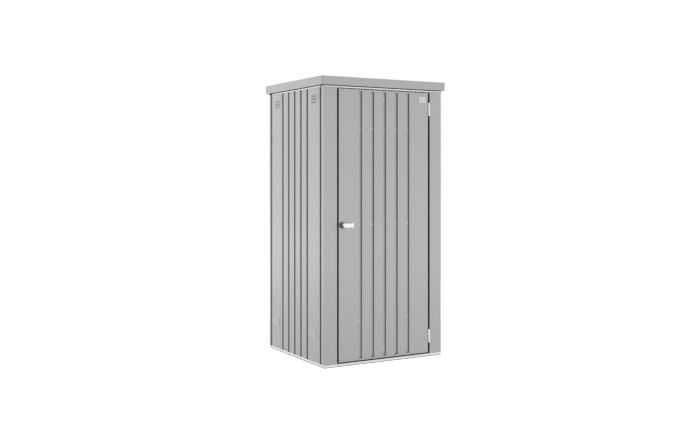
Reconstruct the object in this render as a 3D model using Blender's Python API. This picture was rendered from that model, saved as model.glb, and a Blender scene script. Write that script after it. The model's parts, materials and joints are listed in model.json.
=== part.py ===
"""Garden tool cabinet: a sheet steel carcass, one swinging door and a rack lock.

X runs to the right of the front, Y to the back, Z up. The origin is the middle of the
whole bounding box, on the ground. Inside the sections below, u is a distance from the
body's outer side face towards its middle and v a distance from its front face backwards.
"""

import math

import bmesh
import bpy
from mathutils import Vector

# Overall
ROOF_WIDTH = 0.930
ROOF_DEPTH = 0.830
TOTAL_HEIGHT = 1.825
ROOF_CROWN = 0.008
RIM_HEIGHT = 0.055
RIM_HEM = 0.008
OVERHANG_SIDE = 0.0225
OVERHANG_FRONT = 0.012
OVERHANG_BACK = 0.012

# Stock and clearances
SHEET = 0.0008
PLATE = 0.0012
GAP = 0.0003
OVERRUN = 0.002

# Base rails, corner pads and floor
PAD_HEIGHT = 0.004
PAD_WIDTH = 0.0915
PAD_DEPTH = 0.070
RAIL_WIDTH = 0.050
BASE_RAIL_HEIGHT = 0.014
FLOOR_MARGIN = 0.0025
FLOOR_BEAD_HEIGHT = 0.003
FLOOR_BEAD_WIDTH = 0.030
FLOOR_BEAD_PITCH = 0.150
FLOOR_BEADS = 4

# Corner posts and the recesses beside them
STILE_FACE = 0.0918
STILE_RETURN = 0.034
STOP_LEDGE = 0.022
POST_SIDE_FRONT = 0.040
POST_SIDE_REAR = 0.022
POST_FACE_REAR = 0.022
RECESS_WIDTH = 0.021
RECESS_DEPTH = 0.012
RECESS_RUN = 0.004
RECESS_LAP = 0.018

# Pressed grooves of the walls and the door
GROOVE_PITCH = 0.090
GROOVE_MOUTH = 0.021
GROOVE_FLOOR = 0.013
GROOVE_DEPTH = 0.012
SIDE_GROOVES = 5
REAR_GROOVES = 7
DOOR_GROOVES = 5

# Louvres in the side walls
LOUVRES_IN_GROUP = 3
LOUVRE_PITCH = 0.0196
LOUVRE_LENGTH = 0.070
LOUVRE_HEIGHT = 0.013
LOUVRE_RISE = 0.006
LOUVRE_CHEEK = 0.006
LOUVRE_TOP_DROP = 0.0665
LOUVRE_BOTTOM_RISE = 0.180

# Top rails and roof brace
HEADER_DROP = 0.011
HEADER_STEP = 0.003
SIDE_RAIL_DROP = 0.0095
TOP_FLANGE = 0.020
RAIL_BACK_RISE = 0.040
BRACE_FLANGE = 0.025

# Door
DOOR_GAP_LOCK = 0.0115
DOOR_GAP_HINGE = 0.013
DOOR_GAP_TOP = 0.0043
DOOR_GAP_BOTTOM = 0.008
DOOR_DEPTH = 0.030
DOOR_LIP = 0.012
DOOR_CAP = 0.0125
STRUT_HEIGHT = 0.040
STRUT_DEPTH = 0.013
STRUT_CLEARANCE = 0.006
STRUT_INSET = 0.2465
END_RAIL_HEIGHT = 0.024
END_RAIL_INSET_TOP = 0.060
END_RAIL_INSET_BOTTOM = 0.065
RIVET_HEAD_RADIUS = 0.0042
RIVET_HEAD_HEIGHT = 0.0014
RIVET_SHANK_RADIUS = 0.0020
RIVET_TAIL_RADIUS = 0.0034
RIVET_CROWN_SHARE = 0.55
RIVET_SHOULDER_SHARE = 0.9
NAME_PLATE_WIDTH = 0.055
NAME_PLATE_HEIGHT = 0.036
NAME_PLATE_THICKNESS = 0.001
NAME_PLATE_INSET_SIDE = 0.0185
NAME_PLATE_INSET_TOP = 0.030

# Hinges
HINGE_HEIGHT = 0.087
HINGE_INSET = 0.066
HINGE_BARREL_RADIUS = 0.0055
HINGE_PIN_RADIUS = 0.0027
HINGE_PROUD = 0.002
HINGE_LEAF = 0.0025
HINGE_LEAF_REACH = 0.027
HINGE_SCREW_HEAD_RADIUS = 0.0035
HINGE_SCREW_HEAD_HEIGHT = 0.0014
HINGE_SCREW_RADIUS = 0.0018
HINGE_SCREW_LENGTH = 0.008
HINGE_SCREW_INSET = 0.012
HINGE_SCREW_DEPTH_SHARE = 0.6
SCREW_CROWN_SHARE = 0.7

# Lever handle and rose
LEVER_PIVOT_INSET = 0.0265
LEVER_PIVOT_HEIGHT = 0.885
LEVER_STANDOFF = 0.044
LEVER_THICKNESS = 0.012
LEVER_REACH = 0.059
LEVER_TAIL = 0.018
LEVER_HALF_HEIGHT = 0.0135
LEVER_DIP = 0.0035
LEVER_HUB_RADIUS = 0.0125
LEVER_HUB_TAPER_SHARE = 0.9
LEVER_BEVEL = 0.002
ROSE_RADIUS = 0.020
ROSE_HEIGHT = 0.009
ROSE_BEVEL = 0.003
SPINDLE_SIDE = 0.008
SPINDLE_SOCKET = 0.014
SPINDLE_CLEARANCE = 0.0008
PLUG_RADIUS = 0.006
PLUG_DEPTH = 0.009
KEY_SLOT_WIDTH = 0.0015
KEY_SLOT_LENGTH = 0.007
KEY_SLOT_DEPTH = 0.005

# Lock: pinion, racks, rods, case
PINION_TEETH = 14
GEAR_MODULE = 0.0015
GEAR_ANGLE = math.radians(25.0)
TOOTH_SHARE = 0.42
ADDENDUM = 0.0012
DEDENDUM = 0.0017
PINION_THICKNESS = 0.006
ROD_DEPTH = 0.017
ROD_WIDTH = 0.008
ROD_THICKNESS = 0.005
ROD_TIP_BACKSET = 0.001
RACK_TEETH_BEFORE = 2
RACK_TEETH_AFTER = 5
RACK_RUNOUT_SHARE = 0.8
ROD_PLAY = 0.0004
KEEPER_PLAY = 0.002
GUIDE_WALL = 0.0034
GUIDE_HEIGHT = 0.012
GUIDE_INSET = 0.090
CASE_HALF_WIDTH = 0.0245
CASE_HALF_HEIGHT = 0.040
KEEPER_WIDTH = 0.036
KEEPER_DEPTH = 0.022
KEEPER_THICKNESS = 0.002

# Interior fittings
SHELF_LEVELS = 3
SHELF_FIRST = 0.420
SHELF_PITCH = 0.380
SHELF_RIM = 0.025
SHELF_LEFT = 0.430
SHELF_FRONT = 0.140
SHELF_CLEARANCE = 0.002
UPRIGHT_FLANGE = 0.025
UPRIGHT_TOP = 0.050
BRACKET_DROP = 0.030
BRACKET_LEDGE = 0.025
SHELF_BOLT_HEAD_RADIUS = 0.005
SHELF_BOLT_HEAD_HEIGHT = 0.003
SHELF_BOLT_RADIUS = 0.003
TOOL_RAIL_START = 0.060
TOOL_RAIL_LENGTH = 0.330
TOOL_RAIL_HEIGHT = 0.045
TOOL_RAIL_INSET_TOP = 0.302
TOOL_RAIL_DEPTH = 0.012
TOOL_HOOKS = 4
HOOK_WIDTH = 0.014
HOOK_REACH = 0.060
HOOK_LIP = 0.018
HOOK_MARGIN = 0.030
HOOK_DROP = 0.006

# Facets of the round pieces
BARREL_SIDES = 20
HUB_SIDES = 28
FASTENER_SIDES = 8
BORE_SIDES = 16

# Places that follow from the sizes above
BODY_WIDTH = ROOF_WIDTH - 2 * OVERHANG_SIDE
BODY_DEPTH = ROOF_DEPTH - OVERHANG_FRONT - OVERHANG_BACK
FRONT_REACH = max(LEVER_STANDOFF, OVERHANG_FRONT)
LEFT = -BODY_WIDTH / 2
RIGHT = BODY_WIDTH / 2
FACE = -(FRONT_REACH + BODY_DEPTH + OVERHANG_BACK) / 2 + FRONT_REACH
BACK = FACE + BODY_DEPTH
BASE_TOP = PAD_HEIGHT + BASE_RAIL_HEIGHT
SEAT = BASE_TOP + GAP
RIM_TOP = TOTAL_HEIGHT - ROOF_CROWN
RIM_BOTTOM = RIM_TOP - RIM_HEIGHT
FRAME_TOP = RIM_TOP - SHEET - GAP
HEADER_FACE_BOTTOM = RIM_BOTTOM - HEADER_DROP
HEADER_BOTTOM = HEADER_FACE_BOTTOM - HEADER_STEP
SIDE_RAIL_BOTTOM = RIM_BOTTOM - SIDE_RAIL_DROP
WALL_TOP = SIDE_RAIL_BOTTOM - GAP
FLOOR_TOP = SEAT + PLATE
WALL_INNER = GROOVE_DEPTH + SHEET

DOOR_LEFT = LEFT + STILE_FACE + DOOR_GAP_LOCK
DOOR_RIGHT = RIGHT - STILE_FACE - DOOR_GAP_HINGE
DOOR_CENTRE = (DOOR_LEFT + DOOR_RIGHT) / 2
DOOR_BOTTOM = BASE_TOP + DOOR_GAP_BOTTOM
DOOR_TOP = HEADER_BOTTOM - DOOR_GAP_TOP
DOOR_SKIN_BACK = FACE + GROOVE_DEPTH + SHEET

HINGE_X = DOOR_RIGHT + DOOR_GAP_HINGE / 2
HINGE_Y = FACE - HINGE_PROUD
LEVER_X = DOOR_LEFT + LEVER_PIVOT_INSET
ROD_Y = FACE + ROD_DEPTH
PITCH_RADIUS = PINION_TEETH * GEAR_MODULE / 2
TOOTH_PITCH = math.pi * GEAR_MODULE
ROD_CENTRE_OFFSET = PITCH_RADIUS + DEDENDUM + ROD_WIDTH / 2
SPINDLE_HOLE_RADIUS = math.hypot(SPINDLE_SIDE, SPINDLE_SIDE) / 2 + SPINDLE_CLEARANCE
PLUG_FACE = FACE - LEVER_STANDOFF


# Shapes: each function adds closed solids to a bmesh

def loft(shape, rings):
    """Join rings of equally many points, and close the two ends."""
    rows = [[shape.verts.new(point) for point in ring] for ring in rings]
    count = len(rows[0])
    for near, far in zip(rows, rows[1:]):
        for i in range(count):
            j = (i + 1) % count
            shape.faces.new((near[i], near[j], far[j], far[i]))
    shape.faces.new(rows[0])
    shape.faces.new(rows[-1])


def prism(shape, outline, place, start, end):
    """Extrude an outline; place(a, b, along) turns its points into space."""
    loft(shape, [[place(a, b, start) for a, b in outline], [place(a, b, end) for a, b in outline]])


def box(shape, low, high):
    corners = [(low[0], low[1]), (high[0], low[1]), (high[0], high[1]), (low[0], high[1])]
    prism(shape, corners, upright, low[2], high[2])


def turned(shape, centre, axis, profile, sides):
    """Stack circles of (distance along the axis, radius) into a turned solid."""
    direction = Vector(axis).normalized()
    across = direction.orthogonal().normalized()
    other = direction.cross(across)
    rings = []
    for along, radius in profile:
        middle = Vector(centre) + direction * along
        angles = [2 * math.pi * (i + 0.5) / sides for i in range(sides)]
        rings.append([middle + radius * (math.cos(a) * across + math.sin(a) * other) for a in angles])
    loft(shape, rings)


def upright(a, b, along):
    return (a, b, along)


def lengthwise(a, b, along):
    """An outline in X and Z, extruded along Y."""
    return (a, along, b)


def fold(line, thickness):
    """Give a bent line of sheet its thickness, on the right of its direction."""
    points = [Vector(point) for point in line]
    normals = []
    for near, far in zip(points, points[1:]):
        run = (far - near).normalized()
        normals.append(Vector((run.y, -run.x)))
    inner = []
    for i, point in enumerate(points):
        before = normals[max(i - 1, 0)]
        after = normals[min(i, len(normals) - 1)]
        inner.append(point + (before + after) * thickness / (1 + before.dot(after)))
    return [tuple(point) for point in points] + [tuple(point) for point in reversed(inner)]


def groove_line(centres):
    """The pressed grooves as (distance along the wall, depth) points."""
    line = []
    for centre in centres:
        line.append((centre - GROOVE_MOUTH / 2, 0))
        line.append((centre - GROOVE_FLOOR / 2, GROOVE_DEPTH))
        line.append((centre + GROOVE_FLOOR / 2, GROOVE_DEPTH))
        line.append((centre + GROOVE_MOUTH / 2, 0))
    return line


def spread(centre, pitch, count):
    """Evenly pitched places about a centre."""
    return [centre + pitch * (i - (count - 1) / 2) for i in range(count)]


# Objects

def material(name, colour, roughness, metallic):
    made = bpy.data.materials.new(name)
    made.use_nodes = True
    shader = made.node_tree.nodes["Principled BSDF"]
    shader.inputs["Base Color"].default_value = (*colour, 1)
    shader.inputs["Roughness"].default_value = roughness
    shader.inputs["Metallic"].default_value = metallic
    made.diffuse_color = (*colour, 1)
    return made


def axis_frame(name, place, carrier=None):
    """An empty on a joint's axis, which carries the pieces that turn or slide there."""
    frame = bpy.data.objects.new(name, None)
    frame["place"] = place
    start = Vector(carrier["place"]) if carrier else Vector()
    frame.location = Vector(place) - start
    frame.parent = carrier
    frame.empty_display_size = HINGE_HEIGHT
    bpy.context.scene.collection.objects.link(frame)
    return frame


def to_object(name, shape, frame):
    """Turn a bmesh into an object that hangs on its axis frame, if it has one."""
    bmesh.ops.recalc_face_normals(shape, faces=shape.faces)
    if frame:
        bmesh.ops.translate(shape, verts=shape.verts, vec=-Vector(frame["place"]))
    mesh = bpy.data.meshes.new(name)
    shape.to_mesh(mesh)
    shape.free()
    made = bpy.data.objects.new(name, mesh)
    made.parent = frame
    bpy.context.scene.collection.objects.link(made)
    return made


def piece(name, shape, finish, frame=None, smooth=False):
    """One sub-part with its finish."""
    made = to_object(name, shape, frame)
    made.data.materials.append(finish)
    if smooth:
        made.data.shade_smooth()
        made.data.set_sharp_from_angle(angle=math.radians(30))
    return made


def combine(target, shape, operation):
    """Cut a shape out of a piece, or join it on."""
    frame = target.parent
    tool = to_object("{}_{}_{}".format(operation.lower(), target.name, len(target.modifiers)), shape, frame)
    tool.hide_render = True
    tool.display_type = "WIRE"
    change = target.modifiers.new(operation.title(), "BOOLEAN")
    change.operation = operation
    change.solver = "EXACT"
    change.object = tool


def drill(target, places, axis, radius, start, end, sides=FASTENER_SIDES):
    """Round holes along one axis, from start to end measured from each place."""
    cutter = bmesh.new()
    for place in places:
        turned(cutter, place, axis, [(start, radius), (end, radius)], sides)
    combine(target, cutter, "DIFFERENCE")


# Places in the carcass

def plan(side):
    """Sections seen from above: side is -1 for the left and 1 for the right."""
    def place(u, v, z):
        return (side * (BODY_WIDTH / 2 - u), FACE + v, z)
    return place


def side_rail(side):
    """Sections in u and Z, extruded along Y."""
    def place(u, z, y):
        return (side * (BODY_WIDTH / 2 - u), y, z)
    return place


def cross_rail(rear):
    """Sections in v and Z, extruded along X; the rear ones are measured from the back."""
    def place(v, z, x):
        return (x, BACK - v if rear else FACE + v, z)
    return place


# Base

def make_pads(finish):
    for hand, side in (("left", -1), ("right", 1)):
        for end, start in (("front", 0), ("rear", BODY_DEPTH - PAD_DEPTH)):
            outline = [(0, start), (PAD_WIDTH, start), (PAD_WIDTH, start + PAD_DEPTH), (0, start + PAD_DEPTH)]
            shape = bmesh.new()
            prism(shape, outline, plan(side), 0, PAD_HEIGHT - GAP)
            piece("corner_pad_{}_{}".format(end, hand), shape, finish)


def make_base_rails(finish):
    """Four inverted channels, mitred together at the corners."""
    section = fold([(0, PAD_HEIGHT), (0, BASE_TOP), (RAIL_WIDTH, BASE_TOP), (RAIL_WIDTH, PAD_HEIGHT)], PLATE)
    mitre_gap = GAP * 1.5
    rails = {}
    for name, rear in (("base_rail_front", False), ("base_rail_rear", True)):
        shape = bmesh.new()
        place = cross_rail(rear)
        loft(shape, [[place(v, z, LEFT + v) for v, z in section], [place(v, z, RIGHT - v) for v, z in section]])
        rails[name] = piece(name, shape, finish)
    for name, side in (("base_rail_left", -1), ("base_rail_right", 1)):
        shape = bmesh.new()
        place = side_rail(side)
        front = [place(u, z, FACE + u + mitre_gap) for u, z in section]
        back = [place(u, z, BACK - u - mitre_gap) for u, z in section]
        loft(shape, [front, back])
        rails[name] = piece(name, shape, finish)
    return rails


def make_floor(finish):
    """A plate on the base rails, with raised beads that run across it."""
    inset = WALL_INNER + FLOOR_MARGIN
    start = STILE_RETURN + SHEET + FLOOR_MARGIN
    end = BODY_DEPTH - inset
    line = [(end, FLOOR_TOP)]
    for centre in reversed(spread((start + end) / 2, FLOOR_BEAD_PITCH, FLOOR_BEADS)):
        line.append((centre + FLOOR_BEAD_WIDTH / 2, FLOOR_TOP))
        line.append((centre + FLOOR_BEAD_WIDTH / 2 - FLOOR_BEAD_HEIGHT, FLOOR_TOP + FLOOR_BEAD_HEIGHT))
        line.append((centre - FLOOR_BEAD_WIDTH / 2 + FLOOR_BEAD_HEIGHT, FLOOR_TOP + FLOOR_BEAD_HEIGHT))
        line.append((centre - FLOOR_BEAD_WIDTH / 2, FLOOR_TOP))
    line.append((start, FLOOR_TOP))
    section = fold(list(reversed(line)), PLATE)
    shape = bmesh.new()
    prism(shape, section, cross_rail(False), LEFT + inset, RIGHT - inset)
    piece("floor_panel", shape, finish)


# Posts and walls

def make_front_post(name, side, finish):
    """A folded stile; an ear on its side reaches up past the end of the header."""
    line = [
        (STILE_FACE + STOP_LEDGE, STILE_RETURN),
        (STILE_FACE, STILE_RETURN),
        (STILE_FACE, 0),
        (0, 0),
        (0, POST_SIDE_FRONT),
        (RECESS_DEPTH, POST_SIDE_FRONT + RECESS_RUN),
        (RECESS_DEPTH, POST_SIDE_FRONT + RECESS_WIDTH + RECESS_LAP),
    ]
    shape = bmesh.new()
    top = HEADER_BOTTOM - GAP
    prism(shape, fold(line, SHEET), plan(side), SEAT, top)
    post = piece(name, shape, finish)
    edge = POST_SIDE_FRONT - SHEET
    ear = bmesh.new()
    prism(ear, [(0, 0), (SHEET, 0), (SHEET, edge), (0, edge)], plan(side), top - OVERRUN, FRAME_TOP)
    combine(post, ear, "UNION")
    return post


def make_rear_post(name, side, finish):
    side_edge = BODY_DEPTH - POST_SIDE_REAR
    line = [
        (RECESS_DEPTH, side_edge - RECESS_WIDTH - RECESS_LAP),
        (RECESS_DEPTH, side_edge - RECESS_RUN),
        (0, side_edge),
        (0, BODY_DEPTH),
        (POST_FACE_REAR, BODY_DEPTH),
        (POST_FACE_REAR + RECESS_RUN, BODY_DEPTH - RECESS_DEPTH),
        (POST_FACE_REAR + RECESS_WIDTH + RECESS_LAP, BODY_DEPTH - RECESS_DEPTH),
    ]
    shape = bmesh.new()
    prism(shape, fold(line, SHEET), plan(side), SEAT, WALL_TOP)
    return piece(name, shape, finish)


def ribbed_line(start, end, count):
    """A wall's visible line as (along, depth): its edges fold in onto the posts' flanges."""
    edge_depth = RECESS_DEPTH - GAP - SHEET / 2
    line = [(start - RECESS_RUN, edge_depth), (start, 0)]
    line += groove_line(spread((start + end) / 2, GROOVE_PITCH, count))
    line += [(end, 0), (end + RECESS_RUN, edge_depth)]
    return line


def louvre(shape, place, centre, low):
    """One pressed hood: a thin wedge that leans out from the wall and is open underneath."""
    high = low + LOUVRE_HEIGHT
    root = SHEET / 2
    half = LOUVRE_LENGTH / 2
    lip = half - LOUVRE_CHEEK
    outer = [
        (root, centre - half, high), (root, centre + half, high), (-LOUVRE_RISE, centre + lip, low),
        (-LOUVRE_RISE, centre - lip, low), (root, centre - half, low), (root, centre + half, low),
    ]
    inner = [
        (root, centre - half + SHEET, high - SHEET), (root, centre + half - SHEET, high - SHEET),
        (SHEET - LOUVRE_RISE, centre + lip - SHEET / 2, low), (SHEET - LOUVRE_RISE, centre - lip + SHEET / 2, low),
        (root, centre - half + SHEET, low), (root, centre + half - SHEET, low),
    ]
    a, b, f, e, c, d = [shape.verts.new(place(*point)) for point in outer]
    ai, bi, fi, ei, ci, di = [shape.verts.new(place(*point)) for point in inner]
    for corners in (
        (a, b, f, e), (a, e, c), (b, d, f), (ai, bi, fi, ei), (ai, ei, ci), (bi, di, fi),
        (c, e, ei, ci), (e, f, fi, ei), (f, d, di, fi), (a, c, ci, ai), (a, b, bi, ai), (b, d, di, bi),
    ):
        shape.faces.new(corners)


def louvre_slot(shape, place, centre, low):
    """The opening in the wall behind one hood."""
    half = LOUVRE_LENGTH / 2 - SHEET / 2
    outline = [(-SHEET, centre - half), (-SHEET, centre + half), (2 * SHEET, centre + half), (2 * SHEET, centre - half)]
    prism(shape, outline, place, low + SHEET / 2, low + LOUVRE_HEIGHT - SHEET / 2)


def make_side_wall(name, side, finish):
    start = POST_SIDE_FRONT + RECESS_WIDTH
    end = BODY_DEPTH - POST_SIDE_REAR - RECESS_WIDTH
    line = [(depth, along) for along, depth in ribbed_line(start, end, SIDE_GROOVES)]
    shape = bmesh.new()
    place = plan(side)
    prism(shape, fold(line, SHEET), place, SEAT, WALL_TOP)
    wall = piece(name, shape, finish)
    middle = (start + end) / 2
    first_mouth = middle - GROOVE_PITCH * (SIDE_GROOVES - 1) / 2 - GROOVE_MOUTH / 2
    louvre_centre = (start + first_mouth) / 2
    hoods = bmesh.new()
    slots = bmesh.new()
    for group in (SEAT + LOUVRE_BOTTOM_RISE, WALL_TOP - LOUVRE_TOP_DROP):
        for height in spread(group, LOUVRE_PITCH, LOUVRES_IN_GROUP):
            for centre in (louvre_centre, 2 * middle - louvre_centre):
                louvre(hoods, place, centre, height - LOUVRE_HEIGHT / 2)
                louvre_slot(slots, place, centre, height - LOUVRE_HEIGHT / 2)
    combine(wall, slots, "DIFFERENCE")
    combine(wall, hoods, "UNION")
    return wall


def make_rear_wall(finish):
    edge = POST_FACE_REAR + RECESS_WIDTH
    line = [(along, BODY_DEPTH - depth) for along, depth in ribbed_line(edge, BODY_WIDTH - edge, REAR_GROOVES)]
    shape = bmesh.new()
    prism(shape, fold(line, SHEET), plan(-1), SEAT, WALL_TOP)
    piece("wall_rear", shape, finish)


# Top rails and roof

def end_plates(rail, place, bottom, step, end_inset):
    """Close both ends of an open channel; the plates lie within the thickness of its sheet."""
    inset = PLATE / 4
    low = bottom + inset
    high = FRAME_TOP - inset
    back = RAIL_WIDTH - inset
    outline = [(step + inset, low), (back, low), (back, high), (inset, high)]
    if step:
        outline += [(inset, HEADER_FACE_BOTTOM + inset), (step + inset, HEADER_FACE_BOTTOM + inset)]
    plates = bmesh.new()
    for start in (LEFT + end_inset + inset, RIGHT - end_inset - PLATE - inset):
        prism(plates, outline, place, start, start + PLATE)
    combine(rail, plates, "UNION")


def make_top_rails(finish):
    front_line = [
        (RAIL_WIDTH, HEADER_BOTTOM + RAIL_BACK_RISE),
        (RAIL_WIDTH, HEADER_BOTTOM),
        (HEADER_STEP, HEADER_BOTTOM),
        (HEADER_STEP, HEADER_FACE_BOTTOM),
        (0, HEADER_FACE_BOTTOM),
        (0, FRAME_TOP),
        (TOP_FLANGE, FRAME_TOP),
    ]
    plain_line = [
        (RAIL_WIDTH, SIDE_RAIL_BOTTOM + RAIL_BACK_RISE),
        (RAIL_WIDTH, SIDE_RAIL_BOTTOM),
        (0, SIDE_RAIL_BOTTOM),
        (0, FRAME_TOP),
        (TOP_FLANGE, FRAME_TOP),
    ]
    rails = {}
    for name, rear, line, bottom, step, end_inset in (
        ("top_rail_front", False, front_line, HEADER_BOTTOM, HEADER_STEP, SHEET + GAP),
        ("top_rail_rear", True, plain_line, SIDE_RAIL_BOTTOM, 0, 0),
    ):
        shape = bmesh.new()
        place = cross_rail(rear)
        prism(shape, fold(line, PLATE), place, LEFT + end_inset, RIGHT - end_inset)
        rails[name] = piece(name, shape, finish)
        end_plates(rails[name], place, bottom, step, end_inset)
    for name, side in (("top_rail_left", -1), ("top_rail_right", 1)):
        shape = bmesh.new()
        prism(shape, fold(plain_line, PLATE), side_rail(side), FACE + RAIL_WIDTH + GAP, BACK - RAIL_WIDTH - GAP)
        rails[name] = piece(name, shape, finish)
    return rails


def tray(shape, low, high, hem, crown):
    """A pressed tray turned upside down: a top, four sides and a hem folded inwards."""
    def ring(inset, z):
        return [shape.verts.new((x, y, z)) for x, y in (
            (low[0] + inset, low[1] + inset), (high[0] - inset, low[1] + inset),
            (high[0] - inset, high[1] - inset), (low[0] + inset, high[1] - inset))]
    rings = [
        ring(0, high[2]), ring(0, low[2]), ring(hem, low[2]), ring(hem, low[2] + SHEET),
        ring(SHEET, low[2] + SHEET), ring(SHEET, high[2] - SHEET),
    ]
    for near, far in zip(rings, rings[1:]):
        for i in range(4):
            j = (i + 1) % 4
            shape.faces.new((near[i], near[j], far[j], far[i]))
    middle = ((low[0] + high[0]) / 2, (low[1] + high[1]) / 2)
    for edge, drop in ((rings[0], 0), (rings[-1], SHEET)):
        peak = shape.verts.new((*middle, high[2] + crown - drop))
        for i in range(4):
            shape.faces.new((edge[i], edge[(i + 1) % 4], peak))


def make_roof(panel_finish, brace_finish):
    shape = bmesh.new()
    low = (-ROOF_WIDTH / 2, FACE - OVERHANG_FRONT, RIM_BOTTOM)
    high = (ROOF_WIDTH / 2, BACK + OVERHANG_BACK, RIM_TOP)
    tray(shape, low, high, RIM_HEM, ROOF_CROWN)
    piece("roof_panel", shape, panel_finish)
    middle = (low[1] + high[1]) / 2
    reach = BODY_WIDTH / 2 - (TOP_FLANGE + RAIL_WIDTH) / 2
    bottom = SIDE_RAIL_BOTTOM + RAIL_BACK_RISE + GAP
    rings = []
    for x in (-reach, 0, reach):
        top = RIM_TOP - SHEET - GAP + ROOF_CROWN * (1 - abs(x) / (ROOF_WIDTH / 2)) - GAP / 2
        section = fold([(BRACE_FLANGE, bottom), (0, bottom), (0, top)], PLATE)
        rings.append([(x, middle + across, z) for across, z in section])
    brace = bmesh.new()
    loft(brace, rings)
    piece("roof_brace", brace, brace_finish)


# Door

def door_plan(x, depth, z):
    return (x, FACE + depth, z)


def make_door_skin(finish, frame):
    line = [(DOOR_LEFT + DOOR_LIP, DOOR_DEPTH), (DOOR_LEFT, DOOR_DEPTH), (DOOR_LEFT, 0)]
    line += groove_line(spread(DOOR_CENTRE, GROOVE_PITCH, DOOR_GROOVES))
    line += [(DOOR_RIGHT, 0), (DOOR_RIGHT, DOOR_DEPTH), (DOOR_RIGHT - DOOR_LIP, DOOR_DEPTH)]
    shape = bmesh.new()
    section = fold(list(reversed(line)), SHEET)
    prism(shape, section, door_plan, DOOR_BOTTOM + DOOR_CAP + GAP, DOOR_TOP - DOOR_CAP - GAP)
    return piece("door_skin", shape, finish, frame)


def make_door_caps(finish, frame):
    """Channels that close the ends of the skin; each has a hole for a locking rod."""
    caps = {}
    for name, edge, inward in (("door_cap_top", DOOR_TOP, -1), ("door_cap_bottom", DOOR_BOTTOM, 1)):
        line = [(0, edge + inward * DOOR_CAP), (0, edge), (DOOR_DEPTH, edge), (DOOR_DEPTH, edge + inward * DOOR_CAP)]
        if inward > 0:
            line.reverse()
        shape = bmesh.new()
        prism(shape, fold(line, SHEET), cross_rail(False), DOOR_LEFT, DOOR_RIGHT)
        caps[name] = piece(name, shape, finish, frame)
    return caps


def make_strut(name, height, level, finish, frame):
    """A channel across the door, behind the floors of the grooves."""
    front = WALL_INNER + GAP
    back = front + STRUT_DEPTH
    low = level - height / 2
    high = level + height / 2
    section = fold([(back, low), (front, low), (front, high), (back, high)], SHEET)
    shape = bmesh.new()
    start = LEVER_X + CASE_HALF_WIDTH + STRUT_CLEARANCE
    prism(shape, section, cross_rail(False), start, DOOR_RIGHT - SHEET - GAP)
    return piece(name, shape, finish, frame)


def rivet(skin, struts):
    """Rivets where each strut crosses a groove, fused to the strut; an end rail has one in the middle."""
    grip = 2 * SHEET + GAP
    holes = []
    for strut, level, columns in struts:
        rivets = bmesh.new()
        for x in columns:
            place = (x, FACE + GROOVE_DEPTH, level)
            holes.append(place)
            turned(rivets, place, (0, 1, 0), [
                (-GAP - RIVET_HEAD_HEIGHT, RIVET_HEAD_RADIUS * RIVET_CROWN_SHARE),
                (-GAP - RIVET_HEAD_HEIGHT / 2, RIVET_HEAD_RADIUS * RIVET_SHOULDER_SHARE),
                (-GAP, RIVET_HEAD_RADIUS),
                (-GAP, RIVET_SHANK_RADIUS),
                (grip - SHEET / 2, RIVET_SHANK_RADIUS),
                (grip - SHEET / 2, RIVET_TAIL_RADIUS),
                (grip + RIVET_HEAD_HEIGHT, RIVET_TAIL_RADIUS * RIVET_SHOULDER_SHARE),
            ], FASTENER_SIDES)
        combine(strut, rivets, "UNION")
    drill(skin, holes, (0, 1, 0), RIVET_SHANK_RADIUS + GAP, -OVERRUN, SHEET + GAP / 2)


def make_name_plate(finish, frame):
    shape = bmesh.new()
    right = DOOR_RIGHT - NAME_PLATE_INSET_SIDE
    top = DOOR_TOP - NAME_PLATE_INSET_TOP
    low = (right - NAME_PLATE_WIDTH, FACE - GAP - NAME_PLATE_THICKNESS, top - NAME_PLATE_HEIGHT)
    box(shape, low, (right, FACE - GAP, top))
    piece("name_plate", shape, finish, frame)


# Hinges

def leaf_outline(side):
    """A hinge leaf and its knuckle seen from above, about the hinge's axis."""
    outer = DOOR_GAP_HINGE / 2 - GAP
    inner = outer - HINGE_LEAF
    reach = FACE + HINGE_LEAF_REACH - HINGE_Y
    start = math.acos(min(outer / HINGE_BARREL_RADIUS, 1))
    end = math.acos(min(inner / HINGE_BARREL_RADIUS, 1)) - 2 * math.pi
    points = [(outer, reach), (outer, HINGE_BARREL_RADIUS * math.sin(start))]
    for i in range(BARREL_SIDES + 1):
        angle = start + (end - start) * i / BARREL_SIDES
        points.append((HINGE_BARREL_RADIUS * math.cos(angle), HINGE_BARREL_RADIUS * math.sin(angle)))
    points.append((inner, reach))
    return [(HINGE_X + side * a, HINGE_Y + b) for a, b in points]


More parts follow.
